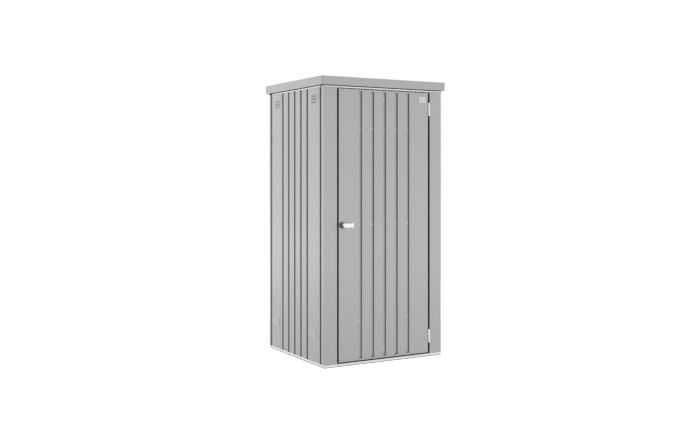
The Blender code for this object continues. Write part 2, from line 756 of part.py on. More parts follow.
def make_hinges(finish, pin_finish, post, skin, frame):
    """Two lift-off hinges: the lower knuckle on the frame, the upper one on the door."""
    bore = HINGE_PIN_RADIUS + GAP
    face = DOOR_GAP_HINGE / 2 - GAP - HINGE_LEAF
    grip = HINGE_LEAF + GAP + SHEET
    screw_depth = HINGE_LEAF_REACH * HINGE_SCREW_DEPTH_SHARE
    half = HINGE_HEIGHT / 2 - GAP / 2
    levels = (("lower", DOOR_BOTTOM + HINGE_INSET), ("upper", DOOR_TOP - HINGE_INSET - HINGE_HEIGHT))
    for name, low in levels:
        for part, side, start, owner, carrier in (
            ("frame_leaf", 1, low, post, None),
            ("door_leaf", -1, low + HINGE_HEIGHT - half, skin, frame),
        ):
            shape = bmesh.new()
            prism(shape, leaf_outline(side), upright, start, start + half)
            leaf = piece("hinge_{}_{}".format(name, part), shape, finish, carrier, smooth=True)
            centre = (HINGE_X, HINGE_Y, start)
            drill(leaf, [centre], (0, 0, 1), bore, -OVERRUN, half + OVERRUN, BORE_SIDES)
            heights = (start + HINGE_SCREW_INSET, start + half - HINGE_SCREW_INSET)
            places = [(HINGE_X + side * face, FACE + screw_depth, z) for z in heights]
            screws = bmesh.new()
            for place in places:
                turned(screws, place, (side, 0, 0), [
                    (-HINGE_SCREW_HEAD_HEIGHT, HINGE_SCREW_HEAD_RADIUS * SCREW_CROWN_SHARE),
                    (0, HINGE_SCREW_HEAD_RADIUS),
                    (HINGE_LEAF / 2, HINGE_SCREW_HEAD_RADIUS),
                    (HINGE_LEAF / 2, HINGE_SCREW_RADIUS),
                    (HINGE_SCREW_LENGTH, HINGE_SCREW_RADIUS),
                ], FASTENER_SIDES)
            combine(leaf, screws, "UNION")
            drill(owner, places, (side, 0, 0), HINGE_SCREW_RADIUS + GAP, HINGE_LEAF + GAP / 2, grip + OVERRUN)
        pin = bmesh.new()
        turned(pin, (HINGE_X, HINGE_Y, low), (0, 0, 1), [
            (OVERRUN, HINGE_PIN_RADIUS), (HINGE_HEIGHT - OVERRUN, HINGE_PIN_RADIUS)], BORE_SIDES)
        piece("hinge_{}_pin".format(name), pin, pin_finish, smooth=True)


# Handle

def lever_outline():
    """The lever seen from the front: a straight blade, its tail cut back below, a dip in its top."""
    dip_shares = [(0.40, 0), (0.48, 0.7), (0.54, 1), (0.60, 0.7), (0.70, 0)]
    tail_shares = [(-0.45, -1), (-0.70, -0.6), (-1, 0.2)]
    points = [(-LEVER_TAIL, LEVER_HALF_HEIGHT)]
    points += [(along * LEVER_REACH, LEVER_HALF_HEIGHT - dip * LEVER_DIP) for along, dip in dip_shares]
    points += [(LEVER_REACH, LEVER_HALF_HEIGHT), (LEVER_REACH, -LEVER_HALF_HEIGHT)]
    points += [(along * LEVER_TAIL, up * LEVER_HALF_HEIGHT) for along, up in tail_shares]
    return points


def make_lever(finish, frame):
    outline = lever_outline()
    middle = sum(a for a, b in outline) / len(outline)
    inset = 1 - LEVER_BEVEL / LEVER_HALF_HEIGHT
    narrow = [(middle + (a - middle) * inset, b * inset) for a, b in outline]
    rings = []
    for ring, depth in ((narrow, 0), (outline, LEVER_BEVEL), (outline, LEVER_THICKNESS)):
        rings.append([(LEVER_X + a, PLUG_FACE + depth, LEVER_PIVOT_HEIGHT + b) for a, b in ring])
    blade = bmesh.new()
    loft(blade, rings)
    lever = piece("handle_lever", blade, finish, frame)
    pivot = (LEVER_X, FACE, LEVER_PIVOT_HEIGHT)
    rose_top = ROSE_HEIGHT + GAP
    hub = bmesh.new()
    turned(hub, pivot, (0, -1, 0), [
        (rose_top + GAP, LEVER_HUB_RADIUS), (LEVER_STANDOFF - LEVER_THICKNESS / 2, LEVER_HUB_RADIUS * LEVER_HUB_TAPER_SHARE)], HUB_SIDES)
    combine(lever, hub, "UNION")
    half = SPINDLE_SIDE / 2 + GAP
    socket = bmesh.new()
    low = (LEVER_X - half, FACE - rose_top - SPINDLE_SOCKET - GAP, LEVER_PIVOT_HEIGHT - half)
    box(socket, low, (LEVER_X + half, FACE - rose_top + OVERRUN, LEVER_PIVOT_HEIGHT + half))
    combine(lever, socket, "DIFFERENCE")
    face = (LEVER_X, PLUG_FACE, LEVER_PIVOT_HEIGHT)
    drill(lever, [face], (0, 1, 0), PLUG_RADIUS + GAP, -OVERRUN, PLUG_DEPTH + GAP, HUB_SIDES)
    return lever


def make_plug(finish, frame):
    shape = bmesh.new()
    turned(shape, (LEVER_X, PLUG_FACE, LEVER_PIVOT_HEIGHT), (0, 1, 0), [
        (0, PLUG_RADIUS), (PLUG_DEPTH, PLUG_RADIUS)], HUB_SIDES)
    plug = piece("lock_plug", shape, finish, frame, smooth=True)
    slot = bmesh.new()
    low = (LEVER_X - KEY_SLOT_WIDTH / 2, PLUG_FACE - OVERRUN, LEVER_PIVOT_HEIGHT - KEY_SLOT_LENGTH / 2)
    high = (LEVER_X + KEY_SLOT_WIDTH / 2, PLUG_FACE + KEY_SLOT_DEPTH, LEVER_PIVOT_HEIGHT + KEY_SLOT_LENGTH / 2)
    box(slot, low, high)
    combine(plug, slot, "DIFFERENCE")


def make_rose(finish, skin, frame):
    pivot = (LEVER_X, FACE, LEVER_PIVOT_HEIGHT)
    shape = bmesh.new()
    turned(shape, pivot, (0, -1, 0), [
        (GAP, ROSE_RADIUS), (GAP + ROSE_HEIGHT - ROSE_BEVEL, ROSE_RADIUS),
        (GAP + ROSE_HEIGHT, ROSE_RADIUS - ROSE_BEVEL)], HUB_SIDES)
    rose = piece("handle_rose", shape, finish, frame, smooth=True)
    for target, start, end in ((rose, -OVERRUN, ROSE_HEIGHT + OVERRUN), (skin, -SHEET - OVERRUN, OVERRUN)):
        drill(target, [pivot], (0, -1, 0), SPINDLE_HOLE_RADIUS, start, end, BORE_SIDES)


def make_spindle(finish, frame):
    half = SPINDLE_SIDE / 2
    shape = bmesh.new()
    low = (LEVER_X - half, FACE - GAP - ROSE_HEIGHT - SPINDLE_SOCKET, LEVER_PIVOT_HEIGHT - half)
    box(shape, low, (LEVER_X + half, FACE + DOOR_DEPTH - SHEET - GAP, LEVER_PIVOT_HEIGHT + half))
    piece("handle_spindle", shape, finish, frame)


# Lock

def tooth_half_angle(radius):
    """Half the angle that an involute tooth spans at a radius."""
    base = PITCH_RADIUS * math.cos(GEAR_ANGLE)
    pressure = math.acos(min(base / radius, 1))
    at_pitch = TOOTH_SHARE * TOOTH_PITCH / PITCH_RADIUS / 2
    return at_pitch + math.tan(GEAR_ANGLE) - GEAR_ANGLE - math.tan(pressure) + pressure


def make_pinion(finish, frame):
    outline = []
    root = PITCH_RADIUS - DEDENDUM
    tip = PITCH_RADIUS + ADDENDUM
    for i in range(PINION_TEETH):
        middle = 2 * math.pi * (i + 0.5) / PINION_TEETH
        for radius, hand in ((root, -1), (PITCH_RADIUS, -1), (tip, -1), (tip, 1), (PITCH_RADIUS, 1), (root, 1)):
            angle = middle + hand * tooth_half_angle(radius)
            outline.append((LEVER_X + radius * math.cos(angle), LEVER_PIVOT_HEIGHT + radius * math.sin(angle)))
    shape = bmesh.new()
    prism(shape, outline, lengthwise, ROD_Y - PINION_THICKNESS / 2, ROD_Y + PINION_THICKNESS / 2)
    pinion = piece("lock_pinion", shape, finish, frame)
    half = SPINDLE_SIDE / 2 + GAP
    bore = bmesh.new()
    low = (LEVER_X - half, ROD_Y - PINION_THICKNESS, LEVER_PIVOT_HEIGHT - half)
    box(bore, low, (LEVER_X + half, ROD_Y + PINION_THICKNESS, LEVER_PIVOT_HEIGHT + half))
    combine(pinion, bore, "DIFFERENCE")


def rod_middle(side):
    """The middle of a locking rod: -1 for the upper one, left of the pinion, 1 for the lower."""
    return LEVER_X + side * ROD_CENTRE_OFFSET


def make_rod(name, side, finish, frame):
    """A flat bar with a rack beside the pinion; the upper rod reaches up and the lower one down."""
    tip_x = LEVER_X + side * (PITCH_RADIUS - ADDENDUM)
    root_x = LEVER_X + side * (PITCH_RADIUS + DEDENDUM)
    outer_x = root_x + side * ROD_WIDTH
    at_pitch = TOOTH_SHARE * TOOTH_PITCH / 2
    tip_half = at_pitch - ADDENDUM * math.tan(GEAR_ANGLE)
    root_half = at_pitch + DEDENDUM * math.tan(GEAR_ANGLE)
    rack_end = LEVER_PIVOT_HEIGHT + side * TOOTH_PITCH * (RACK_TEETH_AFTER + RACK_RUNOUT_SHARE)
    rod_end = DOOR_TOP - ROD_TIP_BACKSET if side < 0 else DOOR_BOTTOM + ROD_TIP_BACKSET
    outline = [(root_x, rack_end)]
    for tooth in range(RACK_TEETH_AFTER, -RACK_TEETH_BEFORE - 1, -1):
        middle = LEVER_PIVOT_HEIGHT + side * TOOTH_PITCH * tooth
        outline.append((root_x, middle + side * root_half))
        outline.append((tip_x, middle + side * tip_half))
        outline.append((tip_x, middle - side * tip_half))
        outline.append((root_x, middle - side * root_half))
    outline += [(root_x, rod_end), (outer_x, rod_end), (outer_x, rack_end)]
    shape = bmesh.new()
    prism(shape, outline, lengthwise, ROD_Y - ROD_THICKNESS / 2, ROD_Y + ROD_THICKNESS / 2)
    piece(name, shape, finish, frame)


def rod_slot(target, side, level, play, reach):
    """A hole for a locking rod, through whatever lies within reach of a level."""
    half_x = ROD_WIDTH / 2 + play
    half_y = ROD_THICKNESS / 2 + play
    cutter = bmesh.new()
    middle = rod_middle(side)
    box(cutter, (middle - half_x, ROD_Y - half_y, level - reach), (middle + half_x, ROD_Y + half_y, level + reach))
    combine(target, cutter, "DIFFERENCE")


def make_lock_case(finish, frame):
    """A box on the back of the skin, open behind, and its cover."""
    cover_back = FACE + DOOR_DEPTH - SHEET - GAP
    cover_front = cover_back - PLATE
    left = LEVER_X - CASE_HALF_WIDTH
    right = LEVER_X + CASE_HALF_WIDTH
    low = LEVER_PIVOT_HEIGHT - CASE_HALF_HEIGHT
    high = LEVER_PIVOT_HEIGHT + CASE_HALF_HEIGHT
    shape = bmesh.new()
    front = FACE + SHEET + GAP
    box(shape, (left, front, low), (right, cover_front - GAP, high))
    case = piece("lock_case", shape, finish, frame)
    hollow = bmesh.new()
    box(hollow, (left + PLATE, front + PLATE, low + PLATE), (right - PLATE, cover_front + OVERRUN, high - PLATE))
    combine(case, hollow, "DIFFERENCE")
    rod_slot(case, -1, high, ROD_PLAY, 2 * PLATE)
    rod_slot(case, 1, low, ROD_PLAY, 2 * PLATE)
    plate = bmesh.new()
    box(plate, (left, cover_front, low), (right, cover_back, high))
    cover = piece("lock_cover", plate, finish, frame)
    pivot = (LEVER_X, front, LEVER_PIVOT_HEIGHT)
    drill(case, [pivot], (0, 1, 0), SPINDLE_HOLE_RADIUS, -OVERRUN, PLATE + OVERRUN, BORE_SIDES)
    pivot = (LEVER_X, cover_front, LEVER_PIVOT_HEIGHT)
    drill(cover, [pivot], (0, 1, 0), SPINDLE_HOLE_RADIUS, -OVERRUN, PLATE + OVERRUN, BORE_SIDES)


def make_rod_guides(finish, frame):
    """Blocks on the back of the skin that the rods slide in."""
    half_x = ROD_WIDTH / 2 + ROD_PLAY + GUIDE_WALL
    back = ROD_Y + ROD_THICKNESS / 2 + ROD_PLAY + GUIDE_WALL
    for name, side, level in (("upper", -1, DOOR_TOP - GUIDE_INSET), ("lower", 1, DOOR_BOTTOM + GUIDE_INSET)):
        middle = rod_middle(side)
        shape = bmesh.new()
        low = (middle - half_x, FACE + SHEET + GAP, level - GUIDE_HEIGHT / 2)
        box(shape, low, (middle + half_x, back, level + GUIDE_HEIGHT / 2))
        guide = piece("rod_guide_" + name, shape, finish, frame)
        rod_slot(guide, side, level, ROD_PLAY, GUIDE_HEIGHT)


def make_keepers(finish, header, threshold):
    """Plates that take the thrown rods, above the header's flange and below the threshold's."""
    for name, side, low in (
        ("keeper_upper", -1, HEADER_BOTTOM + PLATE + GAP),
        ("keeper_lower", 1, BASE_TOP - PLATE - GAP - KEEPER_THICKNESS),
    ):
        middle = rod_middle(side)
        shape = bmesh.new()
        box(shape, (middle - KEEPER_WIDTH / 2, ROD_Y - KEEPER_DEPTH / 2, low),
            (middle + KEEPER_WIDTH / 2, ROD_Y + KEEPER_DEPTH / 2, low + KEEPER_THICKNESS))
        keeper = piece(name, shape, finish)
        rod_slot(keeper, side, low, KEEPER_PLAY / 2, 2 * KEEPER_THICKNESS)
    rod_slot(header, -1, HEADER_BOTTOM, KEEPER_PLAY, 2 * PLATE)
    rod_slot(threshold, 1, BASE_TOP, KEEPER_PLAY, 2 * PLATE)


# Interior fittings

def make_shelves(shelf_finish, frame_finish):
    """Shelves on the right: held by bolts fused to two uprights, and resting on wall ledges."""
    rear = BODY_DEPTH - WALL_INNER - GAP
    top = SHELF_FIRST + SHELF_PITCH * (SHELF_LEVELS - 1) + UPRIGHT_TOP
    lines = {
        "shelf_upright_front": [
            (SHELF_LEFT, SHELF_FRONT + UPRIGHT_FLANGE), (SHELF_LEFT, SHELF_FRONT),
            (SHELF_LEFT - UPRIGHT_FLANGE, SHELF_FRONT)],
        "shelf_upright_rear": [
            (SHELF_LEFT - UPRIGHT_FLANGE, rear), (SHELF_LEFT, rear), (SHELF_LEFT, rear - UPRIGHT_FLANGE)],
    }
    uprights = {}
    for name, line in lines.items():
        shape = bmesh.new()
        prism(shape, fold(line, PLATE), plan(-1), FLOOR_TOP + GAP, top)
        uprights[name] = piece(name, shape, frame_finish)
    grip = PLATE + GAP + SHEET + GAP
    bolt_columns = (
        ("shelf_upright_front", SHELF_FRONT + UPRIGHT_FLANGE / 2),
        ("shelf_upright_rear", rear - UPRIGHT_FLANGE / 2),
    )
    bolts = {name: bmesh.new() for name, column in bolt_columns}
    for i in range(SHELF_LEVELS):
        level = SHELF_FIRST + SHELF_PITCH * i
        shape = bmesh.new()
        low = (LEFT + SHELF_LEFT + GAP, FACE + SHELF_FRONT, level - SHELF_RIM)
        high = (RIGHT - WALL_INNER - SHELF_CLEARANCE, FACE + rear - SHELF_CLEARANCE, level)
        tray(shape, low, high, RIM_HEM, 0)
        shelf = piece("shelf_{}".format(i + 1), shape, shelf_finish)
        ledge_top = level - SHELF_RIM - GAP
        side = WALL_INNER + GAP
        line = [(side, ledge_top - BRACKET_DROP), (side, ledge_top), (side + BRACKET_LEDGE, ledge_top)]
        ledge = bmesh.new()
        prism(ledge, fold(line, PLATE), side_rail(1), FACE + SHELF_FRONT, FACE + rear)
        piece("shelf_ledge_{}".format(i + 1), ledge, frame_finish)
        places = []
        for name, column in bolt_columns:
            place = (LEFT + SHELF_LEFT - PLATE, FACE + column, level - SHELF_RIM / 2)
            places.append(place)
            turned(bolts[name], place, (1, 0, 0), [
                (-SHELF_BOLT_HEAD_HEIGHT, SHELF_BOLT_HEAD_RADIUS),
                (PLATE / 2, SHELF_BOLT_HEAD_RADIUS),
                (PLATE / 2, SHELF_BOLT_RADIUS),
                (grip, SHELF_BOLT_RADIUS),
                (grip, SHELF_BOLT_HEAD_RADIUS),
                (grip + SHELF_BOLT_HEAD_HEIGHT, SHELF_BOLT_HEAD_RADIUS),
            ], FASTENER_SIDES)
        drill(shelf, places, (1, 0, 0), SHELF_BOLT_RADIUS + GAP, PLATE + GAP / 2, grip + OVERRUN)
    for name, shape in bolts.items():
        combine(uprights[name], shape, "UNION")


def make_tool_rail(finish):
    """A channel on the rear wall, with hooks for long-handled tools fused to it."""
    rear = BODY_DEPTH - WALL_INNER - GAP
    front = rear - TOOL_RAIL_DEPTH
    level = WALL_TOP - TOOL_RAIL_INSET_TOP
    low = level - TOOL_RAIL_HEIGHT / 2
    high = level + TOOL_RAIL_HEIGHT / 2
    start = LEFT + TOOL_RAIL_START
    section = fold([(front, high), (rear, high), (rear, low), (front, low)], PLATE)
    shape = bmesh.new()
    prism(shape, section, cross_rail(False), start, start + TOOL_RAIL_LENGTH)
    rail = piece("tool_rail", shape, finish)
    hooks = bmesh.new()
    back = front + PLATE / 2
    tip = back - HOOK_REACH
    arm = low - HOOK_DROP
    section = fold([(back, high - GAP), (back, arm), (tip, arm), (tip, arm + HOOK_LIP)], PLATE)
    pitch = (TOOL_RAIL_LENGTH - 2 * HOOK_MARGIN) / (TOOL_HOOKS - 1)
    for middle in spread(start + TOOL_RAIL_LENGTH / 2, pitch, TOOL_HOOKS):
        prism(hooks, section, cross_rail(False), middle - HOOK_WIDTH / 2, middle + HOOK_WIDTH / 2)
    combine(rail, hooks, "UNION")


def main():
    for old in list(bpy.data.objects):
        bpy.data.objects.remove(old, do_unlink=True)
    painted = material("painted steel", (0.45, 0.46, 0.46), 0.42, 0.35)
    galvanised = material("galvanised steel", (0.62, 0.63, 0.63), 0.38, 0.8)
    bright = material("bright cast metal", (0.80, 0.80, 0.79), 0.25, 0.9)
    zinc = material("zinc plated steel", (0.60, 0.60, 0.58), 0.35, 0.9)
    black = material("black plastic", (0.03, 0.03, 0.03), 0.6, 0.0)
    plain = material("pale plate", (0.70, 0.71, 0.71), 0.35, 0.5)

    make_pads(black)
    base_rails = make_base_rails(galvanised)
    make_floor(galvanised)
    make_front_post("corner_post_front_left", -1, painted)
    hinge_post = make_front_post("corner_post_front_right", 1, painted)
    make_rear_post("corner_post_rear_left", -1, painted)
    make_rear_post("corner_post_rear_right", 1, painted)
    make_side_wall("wall_left", -1, painted)
    make_side_wall("wall_right", 1, painted)
    make_rear_wall(painted)
    top_rails = make_top_rails(galvanised)
    make_roof(painted, galvanised)
    make_shelves(galvanised, galvanised)
    make_tool_rail(galvanised)
    make_keepers(zinc, top_rails["top_rail_front"], base_rails["base_rail_front"])

    door = axis_frame("door_axis", (HINGE_X, HINGE_Y, 0))
    skin = make_door_skin(painted, door)
    caps = make_door_caps(painted, door)
    rod_slot(caps["door_cap_top"], -1, DOOR_TOP, ROD_PLAY, 2 * SHEET)
    rod_slot(caps["door_cap_bottom"], 1, DOOR_BOTTOM, ROD_PLAY, 2 * SHEET)
    grooves = spread(DOOR_CENTRE, GROOVE_PITCH, DOOR_GROOVES)
    struts = []
    for name, level in (
        ("lower", DOOR_BOTTOM + STRUT_INSET),
        ("middle", LEVER_PIVOT_HEIGHT),
        ("upper", DOOR_TOP - STRUT_INSET),
    ):
        struts.append((make_strut("door_strut_" + name, STRUT_HEIGHT, level, galvanised, door), level, grooves))
    for name, level in (
        ("bottom", DOOR_BOTTOM + END_RAIL_INSET_BOTTOM),
        ("top", DOOR_TOP - END_RAIL_INSET_TOP),
    ):
        end_rail = make_strut("door_rail_" + name, END_RAIL_HEIGHT, level, galvanised, door)
        struts.append((end_rail, level, [DOOR_CENTRE]))
    rivet(skin, struts)
    make_name_plate(plain, door)
    make_hinges(zinc, bright, hinge_post, skin, door)
    make_lock_case(zinc, door)
    make_rod_guides(black, door)
    make_rose(bright, skin, door)

    pivot = (LEVER_X, FACE, LEVER_PIVOT_HEIGHT)
    handle = axis_frame("handle_axis", pivot, door)
    make_lever(bright, handle)
    make_spindle(zinc, handle)
    make_pinion(zinc, handle)
    make_plug(zinc, axis_frame("key_axis", pivot, handle))
    for name, side in (("rod_upper", -1), ("rod_lower", 1)):
        slide = axis_frame(name + "_slide", (rod_middle(side), ROD_Y, LEVER_PIVOT_HEIGHT), door)
        make_rod(name, side, zinc, slide)


main()
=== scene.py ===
"""Garden tool cabinet: its folded sheets, pressed louvres, hardware and finishes, dressed on the frame.

Sections are drawn in u and v: u runs from a side face of the body to its middle, v from its
front face to its back. A folded sheet's line is its outer surface, with its thickness on the right.
"""

import json
import math

import bmesh
import bpy
from bpy.props import FloatProperty, FloatVectorProperty, IntProperty, PointerProperty
from mathutils import Matrix, Vector


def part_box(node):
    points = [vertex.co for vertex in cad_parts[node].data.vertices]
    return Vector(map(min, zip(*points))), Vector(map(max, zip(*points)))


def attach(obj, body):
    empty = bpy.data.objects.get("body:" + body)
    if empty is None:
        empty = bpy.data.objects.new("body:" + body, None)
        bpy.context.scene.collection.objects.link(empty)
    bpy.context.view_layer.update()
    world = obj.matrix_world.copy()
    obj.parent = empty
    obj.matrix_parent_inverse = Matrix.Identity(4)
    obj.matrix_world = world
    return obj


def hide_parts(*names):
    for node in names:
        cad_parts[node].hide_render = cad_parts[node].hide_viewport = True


bl_info = {
    "name": "Garden Tool Cabinet",
    "version": (1, 0, 0),
    "blender": (4, 5, 0),
    "location": "3D View > Sidebar > Cabinet",
    "description": "Dresses a sheet steel garden tool cabinet with folded sheets, hardware and finishes",
    "category": "Object",
}

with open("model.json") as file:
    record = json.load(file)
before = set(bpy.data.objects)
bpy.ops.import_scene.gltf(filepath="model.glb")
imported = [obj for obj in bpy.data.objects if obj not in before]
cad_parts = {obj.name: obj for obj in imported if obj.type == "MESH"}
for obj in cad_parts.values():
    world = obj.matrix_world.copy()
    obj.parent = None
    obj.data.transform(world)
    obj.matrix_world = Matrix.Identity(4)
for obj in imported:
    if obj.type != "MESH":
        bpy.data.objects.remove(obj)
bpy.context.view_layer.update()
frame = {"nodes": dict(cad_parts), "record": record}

# Places read from the frame
POST_LOW, POST_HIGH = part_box("corner_post_front_left")
REAR_LOW, REAR_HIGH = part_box("corner_post_rear_right")
ROOF_LOW, ROOF_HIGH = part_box("roof_panel")
HEADER_LOW, HEADER_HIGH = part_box("top_rail_front")
SIDE_RAIL_LOW, SIDE_RAIL_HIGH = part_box("top_rail_left")
THRESHOLD_LOW, THRESHOLD_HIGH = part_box("base_rail_front")
DOOR_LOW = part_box("door_cap_bottom")[0]
DOOR_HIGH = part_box("door_cap_top")[1]
SKIN_LOW, SKIN_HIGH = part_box("door_skin")
LEVER_LOW, LEVER_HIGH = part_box("handle_lever")
ROSE_LOW, ROSE_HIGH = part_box("handle_rose")
LEFT = POST_LOW.x
RIGHT = REAR_HIGH.x
FACE = POST_LOW.y
BACK = REAR_HIGH.y
SEAT = POST_LOW.z
WALL_TOP = REAR_HIGH.z
FRAME_TOP = POST_HIGH.z
HEADER_BOTTOM = HEADER_LOW.z
DEPTH = BACK - FACE
PIVOT = (ROSE_LOW + ROSE_HIGH) / 2
TOUCH = 0.00001

# Least share of a normal or an edge along an axis for it to count as pointing that way
FACING = 0.9

# Sizes that follow another one, as shares of it: a dome's rounding of its height, a rivet tail of its
# head's radius, the rose's hole of the spindle's side, the height of the header's leaning part of its lean
DOME_ROUNDING = 0.85
RIVET_TAIL = 0.8
ROSE_HOLE = 0.8
HEADER_LEAN_RISE = 2

# The lever's edges, as (share of the way from the pivot to the end, share of the dip or of the half height)
LEVER_DIP_SHAPE = ((0.40, 0), (0.48, 0.7), (0.54, 1), (0.60, 0.7), (0.70, 0))
LEVER_TAIL_SHAPE = ((0.45, 0), (0.70, 0.4), (1.0, 1.2))

# Sides of the round pieces that differ from the usual
SHANK_SIDES = 12
NUT_SIDES = 6
ROSE_SIDES = 64

SHELVES = (1, 2, 3)


# Sizes and colours

class CabinetSheets(bpy.types.PropertyGroup):
    """Sheet metal of the carcass and the door."""
    thickness: FloatProperty(name="Sheet", description="Thickness of the outer sheets", default=0.0008,
                             unit="LENGTH", precision=4)
    plate: FloatProperty(name="Plate", description="Thickness of rails and fittings", default=0.0012,
                         unit="LENGTH", precision=4)
    bend: FloatProperty(name="Bend Radius", description="Outer radius of the folds", default=0.0022,
                        unit="LENGTH", precision=4)
    clearance: FloatProperty(name="Clearance", description="Gap between pieces that touch", default=0.0003,
                             unit="LENGTH", precision=4)
    groove_pitch: FloatProperty(name="Groove Pitch", description="Distance from groove to groove",
                                default=0.090, unit="LENGTH")
    groove_mouth: FloatProperty(name="Groove Mouth", description="Width of a groove at the surface",
                                default=0.021, unit="LENGTH")
    groove_floor: FloatProperty(name="Groove Floor", description="Width of a door groove at its floor",
                                default=0.013, unit="LENGTH")
    wall_groove_floor: FloatProperty(name="Wall Groove Floor", default=0.017, unit="LENGTH",
                                     description="Width of a wall groove at its floor")
    groove_depth: FloatProperty(name="Groove Depth", description="Depth of a groove", default=0.012,
                                unit="LENGTH")
    side_grooves: IntProperty(name="Side Grooves", description="Grooves in a side wall", default=5, min=1)
    rear_grooves: IntProperty(name="Rear Grooves", description="Grooves in the rear wall", default=7, min=1)
    door_grooves: IntProperty(name="Door Grooves", description="Grooves in the door", default=5, min=1)
    recess_depth: FloatProperty(name="Recess Depth", description="Depth of the recess beside a corner post",
                                default=0.012, unit="LENGTH")
    recess_run: FloatProperty(name="Recess Run", description="Width of a recess's sloping side",
                              default=0.002, unit="LENGTH")
    recess_width: FloatProperty(name="Recess Width", description="Width of the recess beside a post",
                                default=0.021, unit="LENGTH")
    recess_lap: FloatProperty(name="Recess Lap", description="How far a post laps behind the wall",
                              default=0.018, unit="LENGTH")
    stile_face: FloatProperty(name="Stile", description="Width of a front post's face", default=0.0918,
                              unit="LENGTH", precision=4)
    stile_return: FloatProperty(name="Stile Return", description="Depth of a front post beside the door",
                                default=0.034, unit="LENGTH")
    stop_ledge: FloatProperty(name="Door Stop", description="Width of the ledge that the door closes on",
                              default=0.022, unit="LENGTH")
    post_side_front: FloatProperty(name="Front Post Side", description="Depth of a front post's side face",
                                   default=0.040, unit="LENGTH")
    post_rear: FloatProperty(name="Rear Post Face", description="Width of a rear post's faces",
                             default=0.022, unit="LENGTH")
    plate_bend: FloatProperty(name="Plate Bend Radius", description="Outer radius of the rails' folds",
                              default=0.0013, unit="LENGTH", precision=4)
    roof_crown: FloatProperty(name="Roof Crown", description="Rise of the roof's middle above its rim",
                              default=0.008, unit="LENGTH")
    rail_width: FloatProperty(name="Rail Width", description="Width of the base and top rails", default=0.050,
                              unit="LENGTH")
    rail_back: FloatProperty(name="Rail Back", description="Height of a top rail's inner wall", default=0.040,
                             unit="LENGTH")
    top_flange: FloatProperty(name="Top Flange", description="Width of the flange under the roof",
                              default=0.020, unit="LENGTH")
    header_step: FloatProperty(name="Header Step", description="Step at the foot of the header's face",
                               default=0.003, unit="LENGTH", precision=4)
    header_face: FloatProperty(name="Header Face", description="Height of the header's upright face",
                               default=0.006, unit="LENGTH", precision=4)
    header_lean: FloatProperty(name="Header Lean", description="How far the face leans back under the roof",
                               default=0.003, unit="LENGTH", precision=4)
    beads: IntProperty(name="Floor Beads", description="Raised beads across the floor", default=4, min=1)
    bead_pitch: FloatProperty(name="Bead Pitch", description="Distance from bead to bead", default=0.150,
                              unit="LENGTH")
    bead_width: FloatProperty(name="Bead Width", description="Width of a floor bead", default=0.030,
                              unit="LENGTH")
    bead_height: FloatProperty(name="Bead Height", description="Height of a floor bead", default=0.003,
                               unit="LENGTH", precision=4)
    strut_depth: FloatProperty(name="Door Rail Depth", description="Depth of the door's inner channels",
                               default=0.013, unit="LENGTH")
    door_lip: FloatProperty(name="Door Lip", description="Width of the door's inner lips", default=0.012,
                            unit="LENGTH")
    upright_flange: FloatProperty(name="Upright Flange", description="Width of a shelf upright's flanges",
                                  default=0.025, unit="LENGTH")
    rod_width: FloatProperty(name="Rod Width", description="Width of the locking rods", default=0.008,
                             unit="LENGTH", precision=4)
    rod_play: FloatProperty(name="Rod Play", description="Room around a rod in the door", default=0.0004,
                            unit="LENGTH", precision=4)
    keeper_play: FloatProperty(name="Keeper Play", description="Room around a rod in the frame",
                               default=0.002, unit="LENGTH", precision=4)
    hem: FloatProperty(name="Hem", description="Width of the hem under a rim", default=0.008, unit="LENGTH")
    roof_seam: FloatProperty(name="Roof Seam", description="Open seam beside a corner of the roof's rim",
                             default=0.001, unit="LENGTH", precision=4)


class CabinetLouvres(bpy.types.PropertyGroup):
    """Ventilation louvres pressed from the side walls."""
    count: IntProperty(name="Louvres", description="Louvres in a group", default=3, min=1)
    pitch: FloatProperty(name="Pitch", description="Distance from louvre to louvre", default=0.0196,
                         unit="LENGTH", precision=4)
    length: FloatProperty(name="Length", description="Length of a louvre", default=0.070, unit="LENGTH")
    height: FloatProperty(name="Height", description="Height of a louvre", default=0.013, unit="LENGTH")
    rise: FloatProperty(name="Rise", description="How far a louvre's lip stands out", default=0.006,
                        unit="LENGTH", precision=4)
    cheek: FloatProperty(name="Cheek", description="How far the lip's ends are drawn in", default=0.006,
                         unit="LENGTH", precision=4)
    top_drop: FloatProperty(name="Upper Group", description="From the wall's top to the upper group's middle",
                            default=0.0665, unit="LENGTH", precision=4)
    bottom_rise: FloatProperty(name="Lower Group", default=0.180, unit="LENGTH",
                               description="From the wall's foot to the lower group's middle")
    bend: FloatProperty(name="Ridge Radius", description="Radius of a louvre's ridges", default=0.0012,
                        unit="LENGTH", precision=4)


